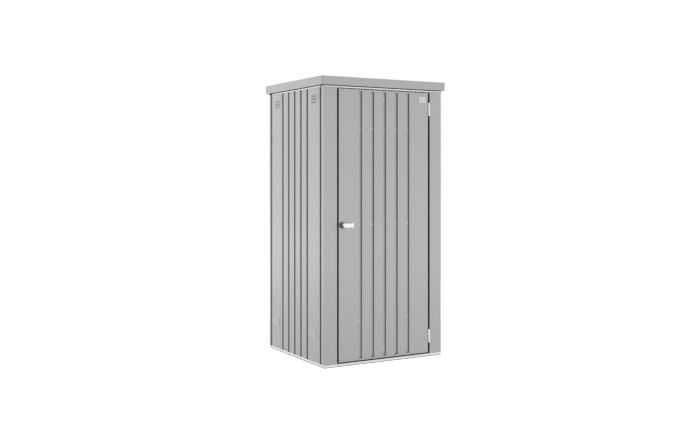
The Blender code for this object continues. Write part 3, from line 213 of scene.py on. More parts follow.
class CabinetHardware(bpy.types.PropertyGroup):
    """Lever, rose, hinges and small fasteners."""
    lever_bevel: FloatProperty(name="Lever Edge", description="Radius of the lever's front edges",
                               default=0.0026, unit="LENGTH", precision=4)
    lever_thickness: FloatProperty(name="Lever Thickness", description="Thickness of the lever's blade",
                                   default=0.012, unit="LENGTH")
    lever_dip: FloatProperty(name="Lever Dip", description="Depth of the dip in the lever's upper edge",
                             default=0.0035, unit="LENGTH", precision=4)
    hub_radius: FloatProperty(name="Hub Radius", description="Radius of the lever's hub", default=0.0125,
                              unit="LENGTH", precision=4)
    plug_radius: FloatProperty(name="Plug Radius", description="Radius of the key plug", default=0.006,
                               unit="LENGTH", precision=4)
    plug_edge: FloatProperty(name="Plug Edge", description="Radius of the key plug's edges", default=0.0005,
                             unit="LENGTH", precision=4)
    rose_bevel: FloatProperty(name="Rose Edge", description="Radius of the rose's front edge", default=0.003,
                              unit="LENGTH", precision=4)
    barrel_radius: FloatProperty(name="Hinge Barrel", description="Radius of a hinge's knuckles",
                                 default=0.0055, unit="LENGTH", precision=4)
    hinge_leaf: FloatProperty(name="Hinge Leaf", description="Thickness of a hinge's leaves", default=0.0025,
                              unit="LENGTH", precision=4)
    rivet_radius: FloatProperty(name="Rivet Head", description="Radius of a rivet's domed head",
                                default=0.0042, unit="LENGTH", precision=4)
    rivet_height: FloatProperty(name="Rivet Height", description="Height of a rivet's domed head",
                                default=0.0014, unit="LENGTH", precision=4)
    screw_radius: FloatProperty(name="Screw Head", description="Radius of a screw's head", default=0.0035,
                                unit="LENGTH", precision=4)
    screw_height: FloatProperty(name="Screw Height", description="Height of a screw's head", default=0.0014,
                                unit="LENGTH", precision=4)
    screw_length: FloatProperty(name="Screw Length", description="Length of a hinge screw under its head",
                                default=0.008, unit="LENGTH", precision=4)
    shank_radius: FloatProperty(name="Screw Shank", description="Radius of a hinge screw's shank",
                                default=0.0018, unit="LENGTH", precision=4)
    screw_inset: FloatProperty(name="Screw Inset", description="From a hinge leaf's end to its screw",
                               default=0.012, unit="LENGTH")
    screw_depth: FloatProperty(name="Screw Depth", description="From the front face back to the hinge screws",
                               default=0.0162, unit="LENGTH", precision=4)
    leaf_offset: FloatProperty(name="Leaf Offset", description="From a hinge's axis to the back of its leaf",
                               default=0.0062, unit="LENGTH", precision=4)
    lever_edge: FloatProperty(name="Lever Corner", description="Radius of the lever's other edges",
                              default=0.0008, unit="LENGTH", precision=4)
    slot_width: FloatProperty(name="Key Slot Width", description="Width of the key slot", default=0.0015,
                              unit="LENGTH", precision=4)
    slot_length: FloatProperty(name="Key Slot Length", description="Length of the key slot", default=0.007,
                               unit="LENGTH", precision=4)
    slot_depth: FloatProperty(name="Key Slot Depth", description="Depth of the key slot", default=0.005,
                              unit="LENGTH", precision=4)
    stamped_edge: FloatProperty(name="Stamped Edge", description="Radius of the lock parts' edges",
                                default=0.0003, unit="LENGTH", precision=4)
    bolt_radius: FloatProperty(name="Bolt Head", description="Radius of the shelf bolts' heads",
                               default=0.005, unit="LENGTH", precision=4)
    bolt_height: FloatProperty(name="Bolt Height", description="Height of the shelf bolts' heads",
                               default=0.003, unit="LENGTH", precision=4)
    tool_rail_depth: FloatProperty(name="Tool Rail Depth", description="Depth of the tool rail",
                                   default=0.012, unit="LENGTH")
    tool_rail_height: FloatProperty(name="Tool Rail Height", description="Height of the tool rail",
                                    default=0.045, unit="LENGTH")
    hooks: IntProperty(name="Hooks", description="Hooks on the tool rail", default=4, min=2)
    hook_width: FloatProperty(name="Hook Width", description="Width of a hook", default=0.014, unit="LENGTH")
    hook_reach: FloatProperty(name="Hook Reach", description="Length of a hook's arm", default=0.060,
                              unit="LENGTH")
    hook_lip: FloatProperty(name="Hook Lip", description="Height of a hook's tip", default=0.018,
                            unit="LENGTH")
    hook_margin: FloatProperty(name="Hook Margin", description="From the rail's end to the first hook",
                               default=0.030, unit="LENGTH")
    pad_rim: FloatProperty(name="Pad Rim", description="Width of the rim under a corner pad", default=0.005,
                           unit="LENGTH", precision=4)
    pad_edge: FloatProperty(name="Pad Edge", description="Radius of a pad's edges", default=0.0006,
                            unit="LENGTH", precision=4)
    plate_rim: FloatProperty(name="Plate Rim", description="Width of the plain plate's raised rim",
                             default=0.002, unit="LENGTH", precision=4)


class CabinetFinishes(bpy.types.PropertyGroup):
    """Colours of the finishes, linear."""
    paint: FloatVectorProperty(name="Paint", description="Satin metallic grey paint", subtype="COLOR",
                               default=(0.318, 0.320, 0.322), min=0, max=1)
    flake: FloatVectorProperty(name="Flake", description="Metal flakes in the paint", subtype="COLOR",
                               default=(0.405, 0.406, 0.410), min=0, max=1)
    galvanised: FloatVectorProperty(name="Galvanised", description="Galvanised steel", subtype="COLOR",
                                    default=(0.70, 0.70, 0.705), min=0, max=1)
    zinc: FloatVectorProperty(name="Zinc", description="Zinc plated steel", subtype="COLOR",
                              default=(0.86, 0.86, 0.85), min=0, max=1)
    bright: FloatVectorProperty(name="Bright Metal", description="Satin cast metal", subtype="COLOR",
                                default=(0.94, 0.94, 0.94), min=0, max=1)
    plate: FloatVectorProperty(name="Pale Plate", description="Bare satin plate", subtype="COLOR",
                               default=(0.77, 0.775, 0.775), min=0, max=1)
    # Moulded plastic of the pads and the rose; on the rose its dark grey is painted shade as well, standing
    # in for the lever's shadow on the door.
    plastic: FloatVectorProperty(name="Black Plastic", description="Moulded plastic", subtype="COLOR",
                                 default=(0.15, 0.15, 0.152), min=0, max=1)


class CabinetStage(bpy.types.PropertyGroup):
    """Floor, lamps and camera."""
    lens: FloatProperty(name="Lens", description="Focal length of the camera", default=46.742, unit="CAMERA")
    shift: FloatProperty(name="Shift", description="Vertical shift of the lens", default=-0.0637, precision=4)
    heading: FloatProperty(name="Heading", description="Turn of the camera about the vertical",
                           default=math.radians(-29.853), subtype="ANGLE")
    eye: FloatVectorProperty(name="Eye", description="Place of the camera", subtype="TRANSLATION",
                             default=(-3.10752, -5.35151, 1.20729), precision=4)
    ambient: FloatProperty(name="Ambient", description="Strength of the surrounding light", default=0.15)
    lamp_distance: FloatProperty(name="Lamp Distance", description="From the cabinet's middle to each lamp",
                                 default=4.5, unit="LENGTH")
    aim_height: FloatProperty(name="Aim", description="Height that the lamps point at", default=1.0,
                              unit="LENGTH")
    side_power: FloatProperty(name="Side Lamp", description="Power of the lamp behind on the left",
                              default=26, unit="POWER")
    side_size: FloatProperty(name="Side Lamp Size", description="Side of its square", default=4,
                             unit="LENGTH")
    side_bearing: FloatProperty(name="Side Lamp Bearing", default=math.radians(-155), subtype="ANGLE",
                                description="Turn from the front towards the right")
    side_height: FloatProperty(name="Side Lamp Height", description="Height of its middle", default=1.0,
                               unit="LENGTH")
    front_power: FloatProperty(name="Front Lamp", description="Power of the lamp in front", default=19,
                               unit="POWER")
    front_size: FloatProperty(name="Front Lamp Size", description="Side of its square", default=4,
                              unit="LENGTH")
    front_bearing: FloatProperty(name="Front Lamp Bearing", default=math.radians(32), subtype="ANGLE",
                                 description="Turn from the front towards the right")
    front_height: FloatProperty(name="Front Lamp Height", description="Height of its middle", default=0.8,
                                unit="LENGTH")
    back_power: FloatProperty(name="Back Lamp", description="Power of the lamp behind on the right",
                              default=20, unit="POWER")
    back_size: FloatProperty(name="Back Lamp Size", description="Side of its square", default=2.5,
                             unit="LENGTH")
    back_bearing: FloatProperty(name="Back Lamp Bearing", default=math.radians(120), subtype="ANGLE",
                                description="Turn from the front towards the right")
    back_height: FloatProperty(name="Back Lamp Height", description="Height of its middle", default=2.6,
                               unit="LENGTH")
    top_power: FloatProperty(name="Top Lamp", description="Power of the lamp overhead", default=100,
                             unit="POWER")
    top_size: FloatProperty(name="Top Lamp Size", description="Side of its square", default=6.0,
                            unit="LENGTH")
    top_height: FloatProperty(name="Top Lamp Height", description="Height above the floor", default=4.5,
                              unit="LENGTH")
    # Glow Start, Glow End and Floor Glow paint shade on the floor: its glow is dimmed near the cabinet, also
    # in reflections, and rises to full away from it.
    glow_start: FloatProperty(name="Glow Start", default=1.2, unit="LENGTH",
                              description="From the middle to where the floor's glow begins to rise")
    glow_end: FloatProperty(name="Glow End", description="From the middle to where the floor's glow is full",
                            default=4.0, unit="LENGTH")
    floor_size: FloatProperty(name="Floor", description="Side of the floor", default=60.0, unit="LENGTH")
    floor_glow: FloatProperty(name="Floor Glow", default=0.9,
                              description="Brightness of the floor near the cabinet, also in reflections")


# Small steps that every piece uses

def edit():
    bpy.ops.object.mode_set(mode="EDIT")


def leave():
    bpy.ops.object.mode_set(mode="OBJECT")


def choose(piece, *others):
    """Make a piece active and select it, with nothing else but the others."""
    bpy.ops.object.select_all(action="DESELECT")
    for each in (piece, *others):
        each.select_set(True)
    bpy.context.view_layer.objects.active = piece


def pick(kind, test):
    """In edit mode, select the verts, edges or faces that pass a test, and nothing else."""
    bpy.ops.mesh.select_mode(type=kind)
    bpy.ops.mesh.select_all(action="DESELECT")
    shape = bmesh.from_edit_mesh(bpy.context.object.data)
    parts = {"VERT": shape.verts, "EDGE": shape.edges, "FACE": shape.faces}[kind]
    found = [part for part in parts if test(part)]
    if not found:
        raise RuntimeError("nothing to select on " + bpy.context.object.name)
    for part in found:
        part.select_set(True)
    shape.select_flush_mode()
    bmesh.update_edit_mesh(bpy.context.object.data)


def named(piece, name):
    piece.name = name
    piece.data.name = name
    return piece


def settle(piece):
    """Put a piece's place into its mesh."""
    choose(piece)
    bpy.ops.object.transform_apply(location=True, rotation=True, scale=True)
    return piece


def add_panel(name, low_left, low_right, high_left):
    """A plane added at its size and place, from three of its corners."""
    across = low_right - low_left
    up = high_left - low_left
    turn = Matrix((across.normalized(), up.normalized(), across.cross(up).normalized())).transposed()
    bpy.ops.object.select_all(action="DESELECT")
    bpy.ops.mesh.primitive_plane_add(size=1, location=(low_right + high_left) / 2, rotation=turn.to_euler())
    bpy.context.object.scale = (across.length, up.length, 1)
    return settle(named(bpy.context.object, name))


def add_box(name, low, high):
    """A cube added at its size and place."""
    low = Vector(low)
    high = Vector(high)
    bpy.ops.object.select_all(action="DESELECT")
    bpy.ops.mesh.primitive_cube_add(size=1, location=(low + high) / 2)
    bpy.context.object.scale = high - low
    return settle(named(bpy.context.object, name))


def add_round(name, base, axis, radius, height, sides=48):
    """A cylinder that stands on a base point along an axis."""
    axis = Vector(axis).normalized()
    bpy.ops.object.select_all(action="DESELECT")
    bpy.ops.mesh.primitive_cylinder_add(vertices=sides, radius=radius, depth=height,
                                        location=Vector(base) + axis * height / 2,
                                        rotation=axis.to_track_quat("Z", "Y").to_euler())
    return settle(named(bpy.context.object, name))


def use_modifier(piece, kind, **values):
    """Add a modifier, set it and apply it."""
    choose(piece)
    bpy.ops.object.modifier_add(type=kind)
    change = piece.modifiers[-1]
    for key, value in values.items():
        setattr(change, key, value)
    bpy.ops.object.modifier_apply(modifier=change.name)


def merge(piece, other, operation):
    """Cut another shape out of a piece, or fuse it on, and use it up."""
    use_modifier(piece, "BOOLEAN", operation=operation, solver="EXACT", object=other)
    bpy.data.objects.remove(other, do_unlink=True)
    return piece


def join(piece, others):
    """Put loose shapes into one piece."""
    choose(piece, *others)
    bpy.ops.object.join()
    return piece


def soften(piece, width, segments=3, angle=math.radians(30)):
    """Round the edges that are sharper than an angle."""
    use_modifier(piece, "BEVEL", width=width, segments=segments, limit_method="ANGLE", angle_limit=angle,
                 harden_normals=False)


def smooth(piece, angle=math.radians(35)):
    """Shade the rounded edges smooth, and keep the flat faces between them flat."""
    choose(piece)
    bpy.ops.object.shade_smooth_by_angle(angle=angle)
    use_modifier(piece, "WEIGHTED_NORMAL", weight=100, keep_sharp=True)


# Sections and folded sheet

def plan(side):
    """Sections in u and v, extruded upwards: side is -1 for the left and 1 for the right."""
    def place(u, v, z):
        return Vector((side * (RIGHT - u), FACE + v, z))
    return place


def side_rail(side):
    """Sections in u and Z, extruded along Y."""
    def place(u, z, y):
        return Vector((side * (RIGHT - u), y, z))
    return place


def cross_rail(rear):
    """Sections in v and Z, extruded along X; the rear ones are measured from the back."""
    def place(v, z, x):
        return Vector((x, BACK - v if rear else FACE + v, z))
    return place


def door_plan(x, depth, z):
    """The door's section in X and depth, extruded upwards."""
    return Vector((x, FACE + depth, z))


def right_handed(place):
    origin = place(0, 0, 0)
    a, b, along = (place(*unit) - origin for unit in ((1, 0, 0), (0, 1, 0), (0, 0, 1)))
    return a.cross(b).dot(along) > 0


def midpoint(edge):
    return (edge.verts[0].co + edge.verts[1].co) / 2


def folded(edge):
    return len(edge.link_faces) == 2 and edge.calc_face_angle() > math.radians(5)


def panels(name, line, low, high, place):
    """A bent sheet without thickness: each panel is extruded from the last one's free edge."""
    corners = [place(a, b, low) for a, b in line]
    rise = place(0, 0, high) - place(0, 0, low)
    piece = add_panel(name, corners[0], corners[1], corners[0] + rise)
    edit()
    middle = corners[1] + rise / 2
    pick("EDGE", lambda edge: (midpoint(edge) - middle).length < TOUCH)
    for near, far in zip(corners[1:], corners[2:]):
        bpy.ops.mesh.extrude_edges_move(TRANSFORM_OT_translate={"value": far - near})
    leave()
    return piece


def round_folds(piece, bend, test=None):
    """Give the folds their radius, all of them or those that pass a test."""
    choose(piece)
    edit()
    pick("EDGE", lambda edge: folded(edge) and (test is None or test(edge)))
    bpy.ops.mesh.bevel(offset=bend, segments=3, affect="EDGES")
    leave()


def thicken(piece, place, thickness):
    """Give an open sheet its thickness, on the right of its line."""
    use_modifier(piece, "SOLIDIFY", thickness=thickness, offset=1 if right_handed(place) else -1,
                 use_even_offset=True, use_quality_normals=True)


def sheet(name, line, low, high, place, thickness, bend):
    """A folded sheet with its radii and its thickness."""
    piece = panels(name, line, low, high, place)
    round_folds(piece, bend)
    thicken(piece, place, thickness)
    return piece


def spread(centre, pitch, count):
    """Evenly pitched places about a centre."""
    return [centre + pitch * (i - (count - 1) / 2) for i in range(count)]


def groove_line(centres, floor):
    """The pressed grooves as (distance along the wall, depth) points."""
    sheets = bpy.context.scene.cabinet_sheets
    line = []
    for centre in centres:
        line.append((centre - sheets.groove_mouth / 2, 0))
        line.append((centre - floor / 2, sheets.groove_depth))
        line.append((centre + floor / 2, sheets.groove_depth))
        line.append((centre + sheets.groove_mouth / 2, 0))
    return line


def ribbed_line(start, end, count):
    """A wall's line as (along, depth): its edges fold in onto the posts' flanges."""
    sheets = bpy.context.scene.cabinet_sheets
    edge_depth = sheets.recess_depth - sheets.clearance - sheets.thickness / 2
    line = [(start - sheets.recess_run, edge_depth), (start, 0)]
    line += groove_line(spread((start + end) / 2, sheets.groove_pitch, count), sheets.wall_groove_floor)
    line += [(end, 0), (end + sheets.recess_run, edge_depth)]
    return line


# Finishes

def add_node(tree, kind, inputs=None, **values):
    made = tree.nodes.new(kind)
    for key, value in values.items():
        setattr(made, key, value)
    for key, value in (inputs or {}).items():
        made.inputs[key].default_value = value
    return made


def new_group(name, inputs, outputs):
    """A shader node group with its named sockets, and its two end nodes."""
    group = bpy.data.node_groups.new(name, "ShaderNodeTree")
    for title, kind, value in inputs:
        socket = group.interface.new_socket(title, in_out="INPUT", socket_type="NodeSocket" + kind)
        socket.default_value = value
    for title, kind in outputs:
        group.interface.new_socket(title, in_out="OUTPUT", socket_type="NodeSocket" + kind)
    return group, add_node(group, "NodeGroupInput"), add_node(group, "NodeGroupOutput")


def kept_group(name, build):
    """A group is built once and then shared."""
    return bpy.data.node_groups.get(name) or build(name)


def mottle_group(name):
    """Two colours in fine random grains, and a height that follows them."""
    group, start, end = new_group(name, [
        ("Color", "Color", (0.5, 0.5, 0.5, 1)), ("Grain Color", "Color", (0.6, 0.6, 0.6, 1)),
        ("Grains per Metre", "Float", 600.0), ("Contrast", "Float", 0.5),
    ], [("Color", "Color"), ("Height", "Float")])
    where = add_node(group, "ShaderNodeTexCoord")
    noise = add_node(group, "ShaderNodeTexNoise", {"Detail": 2.0, "Roughness": 0.6})
    sharpen = add_node(group, "ShaderNodeMapRange", {"From Min": 0.38, "From Max": 0.62}, clamp=True)
    share = add_node(group, "ShaderNodeMath", operation="MULTIPLY")
    mix = add_node(group, "ShaderNodeMix", data_type="RGBA")
    group.links.new(where.outputs["Object"], noise.inputs["Vector"])
    group.links.new(start.outputs["Grains per Metre"], noise.inputs["Scale"])
    group.links.new(noise.outputs["Fac"], sharpen.inputs["Value"])
    group.links.new(sharpen.outputs["Result"], share.inputs[0])
    group.links.new(start.outputs["Contrast"], share.inputs[1])
    group.links.new(share.outputs["Value"], mix.inputs["Factor"])
    group.links.new(start.outputs["Color"], mix.inputs["A"])
    group.links.new(start.outputs["Grain Color"], mix.inputs["B"])
    group.links.new(mix.outputs["Result"], end.inputs["Color"])
    group.links.new(sharpen.outputs["Result"], end.inputs["Height"])
    return group


def streak_group(name):
    """Long fine scratches along one axis, as from drawing or brushing; Stretch scales each axis."""
    group, start, end = new_group(name, [
        ("Stretch", "Vector", (40.0, 1500.0, 1500.0)), ("Low", "Float", 0.3), ("High", "Float", 0.4),
    ], [("Value", "Float"), ("Height", "Float")])
    where = add_node(group, "ShaderNodeTexCoord")
    scale = add_node(group, "ShaderNodeVectorMath", operation="MULTIPLY")
    noise = add_node(group, "ShaderNodeTexNoise", {"Scale": 1.0, "Detail": 3.0, "Roughness": 0.6})
    spread_out = add_node(group, "ShaderNodeMapRange", {"From Min": 0.3, "From Max": 0.7})
    group.links.new(where.outputs["Object"], scale.inputs[0])
    group.links.new(start.outputs["Stretch"], scale.inputs[1])
    group.links.new(scale.outputs["Vector"], noise.inputs["Vector"])
    group.links.new(noise.outputs["Fac"], spread_out.inputs["Value"])
    group.links.new(start.outputs["Low"], spread_out.inputs["To Min"])
    group.links.new(start.outputs["High"], spread_out.inputs["To Max"])
    group.links.new(spread_out.outputs["Result"], end.inputs["Value"])
    group.links.new(noise.outputs["Fac"], end.inputs["Height"])
    return group


def spangle_group(name):
    """Crystals of a zinc coating: each cell has its own shade, with a fine grain inside it."""
    group, start, end = new_group(name, [
        ("Color", "Color", (0.8, 0.8, 0.8, 1)), ("Cells per Metre", "Float", 90.0),
        ("Contrast", "Float", 0.15), ("Low", "Float", 0.28), ("High", "Float", 0.42),
    ], [("Color", "Color"), ("Roughness", "Float"), ("Height", "Float")])
    where = add_node(group, "ShaderNodeTexCoord")
    bend = add_node(group, "ShaderNodeTexNoise", {"Scale": 60.0, "Detail": 2.0})
    shift = add_node(group, "ShaderNodeVectorMath", {3: 0.012}, operation="SCALE")
    place = add_node(group, "ShaderNodeVectorMath", operation="ADD")
    cells = add_node(group, "ShaderNodeTexVoronoi", feature="F1")
    tone = add_node(group, "ShaderNodeSeparateColor")
    dark = add_node(group, "ShaderNodeMath", {0: 1.0}, operation="SUBTRACT")
    share = add_node(group, "ShaderNodeMath", operation="MULTIPLY")
    shade = add_node(group, "ShaderNodeVectorMath", operation="SCALE")
    rough = add_node(group, "ShaderNodeMapRange")
    group.links.new(where.outputs["Object"], bend.inputs["Vector"])
    group.links.new(bend.outputs["Color"], shift.inputs[0])
    group.links.new(where.outputs["Object"], place.inputs[0])
    group.links.new(shift.outputs["Vector"], place.inputs[1])
    group.links.new(place.outputs["Vector"], cells.inputs["Vector"])
    group.links.new(start.outputs["Cells per Metre"], cells.inputs["Scale"])
    group.links.new(cells.outputs["Color"], tone.inputs["Color"])
    group.links.new(tone.outputs["Red"], share.inputs[0])
    group.links.new(start.outputs["Contrast"], share.inputs[1])
    group.links.new(share.outputs["Value"], dark.inputs[1])
    group.links.new(start.outputs["Color"], shade.inputs[0])
    group.links.new(dark.outputs["Value"], shade.inputs["Scale"])
    group.links.new(shade.outputs["Vector"], end.inputs["Color"])
    group.links.new(tone.outputs["Green"], rough.inputs["Value"])
    group.links.new(start.outputs["Low"], rough.inputs["To Min"])
    group.links.new(start.outputs["High"], rough.inputs["To Max"])
    group.links.new(rough.outputs["Result"], end.inputs["Roughness"])
    group.links.new(tone.outputs["Blue"], end.inputs["Height"])
    return group


def new_surface(name, roughness, metallic):
    """A material with its Principled shader, whose even numbers sit on its own sockets."""
    surface = bpy.data.materials.new(name)
    surface.use_nodes = True
    shader = surface.node_tree.nodes["Principled BSDF"]
    shader.inputs["Roughness"].default_value = roughness
    shader.inputs["Metallic"].default_value = metallic
    return surface, surface.node_tree, shader


def add_group(tree, name, build, inputs):
    return add_node(tree, "ShaderNodeGroup", inputs, node_tree=kept_group(name, build))


def relief(tree, height, shader, strength, depth):
    """Bump from a height, with its depth in metres."""
    bump = add_node(tree, "ShaderNodeBump", {"Strength": strength, "Distance": depth})
    tree.links.new(height, bump.inputs["Height"])
    tree.links.new(bump.outputs["Normal"], shader.inputs["Normal"])


def rgba(colour):
    return (*colour, 1)


def painted_steel():
    finishes = bpy.context.scene.cabinet_finishes
    surface, tree, shader = new_surface("cabinet_painted_steel", roughness=0.3, metallic=0.95)
    flakes = add_group(tree, "mottle", mottle_group, {
        "Color": rgba(finishes.paint), "Grain Color": rgba(finishes.flake),
        "Grains per Metre": 900.0, "Contrast": 0.45})
    tree.links.new(flakes.outputs["Color"], shader.inputs["Base Color"])
    peel = add_group(tree, "mottle", mottle_group, {"Grains per Metre": 260.0})
    relief(tree, peel.outputs["Height"], shader, strength=0.15, depth=0.00008)
    return surface


def galvanised_steel():
    finishes = bpy.context.scene.cabinet_finishes
    surface, tree, shader = new_surface("cabinet_galvanised_steel", roughness=0.34, metallic=0.85)
    crystals = add_group(tree, "spangle", spangle_group, {
        "Color": rgba(finishes.galvanised), "Cells per Metre": 140.0, "Contrast": 0.08,
        "Low": 0.10, "High": 0.18})
    tree.links.new(crystals.outputs["Color"], shader.inputs["Base Color"])
    tree.links.new(crystals.outputs["Roughness"], shader.inputs["Roughness"])
    relief(tree, crystals.outputs["Height"], shader, strength=0.1, depth=0.00004)
    return surface


def zinc_steel():
    finishes = bpy.context.scene.cabinet_finishes
    surface, tree, shader = new_surface("cabinet_zinc_steel", roughness=0.35, metallic=0.9)
    grains = add_group(tree, "mottle", mottle_group, {
        "Color": rgba(finishes.zinc), "Grain Color": rgba(finishes.galvanised),
        "Grains per Metre": 900.0, "Contrast": 0.6})
    tree.links.new(grains.outputs["Color"], shader.inputs["Base Color"])
    streaks = add_group(tree, "streaks", streak_group, {
        "Stretch": (900.0, 900.0, 60.0), "Low": 0.28, "High": 0.42})
    tree.links.new(streaks.outputs["Value"], shader.inputs["Roughness"])
    relief(tree, streaks.outputs["Height"], shader, strength=0.1, depth=0.00004)
    return surface


def bright_metal():
    finishes = bpy.context.scene.cabinet_finishes
    surface, tree, shader = new_surface("cabinet_bright_metal", roughness=0.3, metallic=0.6)
    grains = add_group(tree, "mottle", mottle_group, {
        "Color": rgba(finishes.bright), "Grain Color": rgba(finishes.galvanised),
        "Grains per Metre": 1500.0, "Contrast": 0.1})
    tree.links.new(grains.outputs["Color"], shader.inputs["Base Color"])
    streaks = add_group(tree, "streaks", streak_group, {
        "Stretch": (60.0, 1200.0, 1200.0), "Low": 0.22, "High": 0.34})
    tree.links.new(streaks.outputs["Value"], shader.inputs["Roughness"])
    return surface


def pale_plate():
    finishes = bpy.context.scene.cabinet_finishes
    surface, tree, shader = new_surface("cabinet_pale_plate", roughness=0.35, metallic=0.4)
    grains = add_group(tree, "mottle", mottle_group, {
        "Color": rgba(finishes.plate), "Grain Color": rgba(finishes.bright),
        "Grains per Metre": 1200.0, "Contrast": 0.2})
    tree.links.new(grains.outputs["Color"], shader.inputs["Base Color"])
    streaks = add_group(tree, "streaks", streak_group, {
        "Stretch": (50.0, 1500.0, 1500.0), "Low": 0.28, "High": 0.4})
    tree.links.new(streaks.outputs["Value"], shader.inputs["Roughness"])
    return surface


def black_plastic():
    finishes = bpy.context.scene.cabinet_finishes
    surface, tree, shader = new_surface("cabinet_black_plastic", roughness=0.5, metallic=0.0)
    grains = add_group(tree, "mottle", mottle_group, {
        # On the rose this dark grey is painted shade for the lever's shadow on the door.
        "Color": rgba(finishes.plastic), "Grain Color": rgba([2 * part for part in finishes.plastic]),
        "Grains per Metre": 1400.0, "Contrast": 0.3})
    tree.links.new(grains.outputs["Color"], shader.inputs["Base Color"])
    relief(tree, grains.outputs["Height"], shader, strength=0.3, depth=0.00005)
    return surface


SURFACES = {
    "painted_steel": painted_steel,
    "galvanised_steel": galvanised_steel,
    "zinc_steel": zinc_steel,
    "bright_metal": bright_metal,
    "pale_plate": pale_plate,
    "black_plastic": black_plastic,
}
BODY_OF = {node: body for body, nodes in frame["record"]["behaviour"]["bodies"].items() for node in nodes}
SLOT_OF = {part["node"]: part["material_slot"] for part in frame["record"]["subparts"]}


def finish(piece, node, *others):
    """Give a piece the surface, body and slot of the node that it stands for."""
    smooth(piece)
    slot = SLOT_OF[node]
    piece.data.materials.clear()
    piece.data.materials.append(bpy.data.materials.get("cabinet_" + slot) or SURFACES[slot]())
    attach(piece, BODY_OF[node])
    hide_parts(node, *others)
    return piece


# Walls and posts

def press_louvres(wall, side, centres, levels):
    """Cut each louvre's outline in the flat strips, draw it out into a hood and open it underneath."""
    louvres = bpy.context.scene.cabinet_louvres
    half_length = louvres.length / 2
    half_height = louvres.height / 2
    face = side * RIGHT
    out = Vector((side * louvres.rise, 0, 0))

    def in_strip(part):
        middle = part.calc_center_median()
        nearest = min(abs(middle.y - centre) for centre in centres)
        return abs(middle.x - face) < TOUCH and nearest < louvres.length

    def in_band(part):
        z = part.calc_center_median().z
        return in_strip(part) and min(abs(z - level) for level in levels) < half_height

    def in_hood(part):
        y = part.calc_center_median().y
        return in_band(part) and min(abs(y - c) for c in centres) < half_length

    def at_lip(vert, up):
        level = min(levels, key=lambda each: abs(each - vert.co.z))
        return abs(vert.co.x - face - out.x) < TOUCH and (vert.co.z > level) == up

    choose(wall)
    edit()
    for level in levels:
        for z in (level - half_height, level + half_height):
            pick("FACE", in_strip)
            bpy.ops.mesh.bisect(plane_co=(0, 0, z), plane_no=(0, 0, 1))
    for centre in centres:
        for y in (centre - half_length, centre + half_length):
            pick("FACE", in_band)
            bpy.ops.mesh.bisect(plane_co=(0, y, 0), plane_no=(0, 1, 0))
    pick("FACE", in_hood)
    bpy.ops.mesh.extrude_region_move(TRANSFORM_OT_translate={"value": out})
    pick("VERT", lambda vert: at_lip(vert, True))
    bpy.ops.transform.translate(value=-out)
    for hand in (-1, 1):
        pick("VERT", lambda vert: at_lip(vert, False)
             and hand * (vert.co.y - min(centres, key=lambda c: abs(c - vert.co.y))) > 0)
        bpy.ops.transform.translate(value=(0, -hand * louvres.cheek, 0))
    bpy.ops.mesh.select_all(action="SELECT")
    bpy.ops.mesh.remove_doubles(threshold=TOUCH)
    pick("FACE", lambda part: abs(part.calc_center_median().x - face) > TOUCH
         and side * (part.calc_center_median().x - face) > 0 and abs(part.normal.z) > FACING)
    bpy.ops.mesh.delete(type="FACE")
    pick("EDGE", lambda edge: folded(edge) and max(side * vert.co.x for vert in edge.verts) > RIGHT + TOUCH)
    bpy.ops.mesh.bevel(offset=louvres.bend, segments=2, affect="EDGES")
    leave()


class CABINET_OT_side_walls(bpy.types.Operator):
    """Fold the side walls and press their grooves and louvres"""
    bl_idname = "cabinet.side_walls"
    bl_label = "Side Walls"

    def execute(self, context):
        sheets = context.scene.cabinet_sheets
        louvres = context.scene.cabinet_louvres
        start = sheets.post_side_front + sheets.recess_width
        end = DEPTH - sheets.post_rear - sheets.recess_width
        middle = (start + end) / 2
        line = [(depth, along) for along, depth in ribbed_line(start, end, sheets.side_grooves)]
        first_mouth = middle - sheets.groove_pitch * (sheets.side_grooves - 1) / 2 - sheets.groove_mouth / 2
        strip = (start + first_mouth) / 2
        centres = [FACE + strip, FACE + 2 * middle - strip]
        levels = spread(SEAT + louvres.bottom_rise, louvres.pitch, louvres.count)
        levels += spread(WALL_TOP - louvres.top_drop, louvres.pitch, louvres.count)
        for name, node, side in (("left_wall", "wall_left", -1), ("right_wall", "wall_right", 1)):
            wall = panels(name, line, SEAT, WALL_TOP, plan(side))
            round_folds(wall, sheets.bend)
            press_louvres(wall, side, centres, levels)
            thicken(wall, plan(side), sheets.thickness)
            finish(wall, node)
        return {"FINISHED"}


class CABINET_OT_rear_wall(bpy.types.Operator):
    """Fold the rear wall and its grooves"""
    bl_idname = "cabinet.rear_wall"
    bl_label = "Rear Wall"

    def execute(self, context):
        sheets = context.scene.cabinet_sheets
        edge = sheets.post_rear + sheets.recess_width
        ribs = ribbed_line(edge, RIGHT - LEFT - edge, sheets.rear_grooves)
        line = [(along, DEPTH - depth) for along, depth in ribs]
        finish(sheet("rear_wall", line, SEAT, WALL_TOP, plan(-1), sheets.thickness, sheets.bend), "wall_rear")
        return {"FINISHED"}


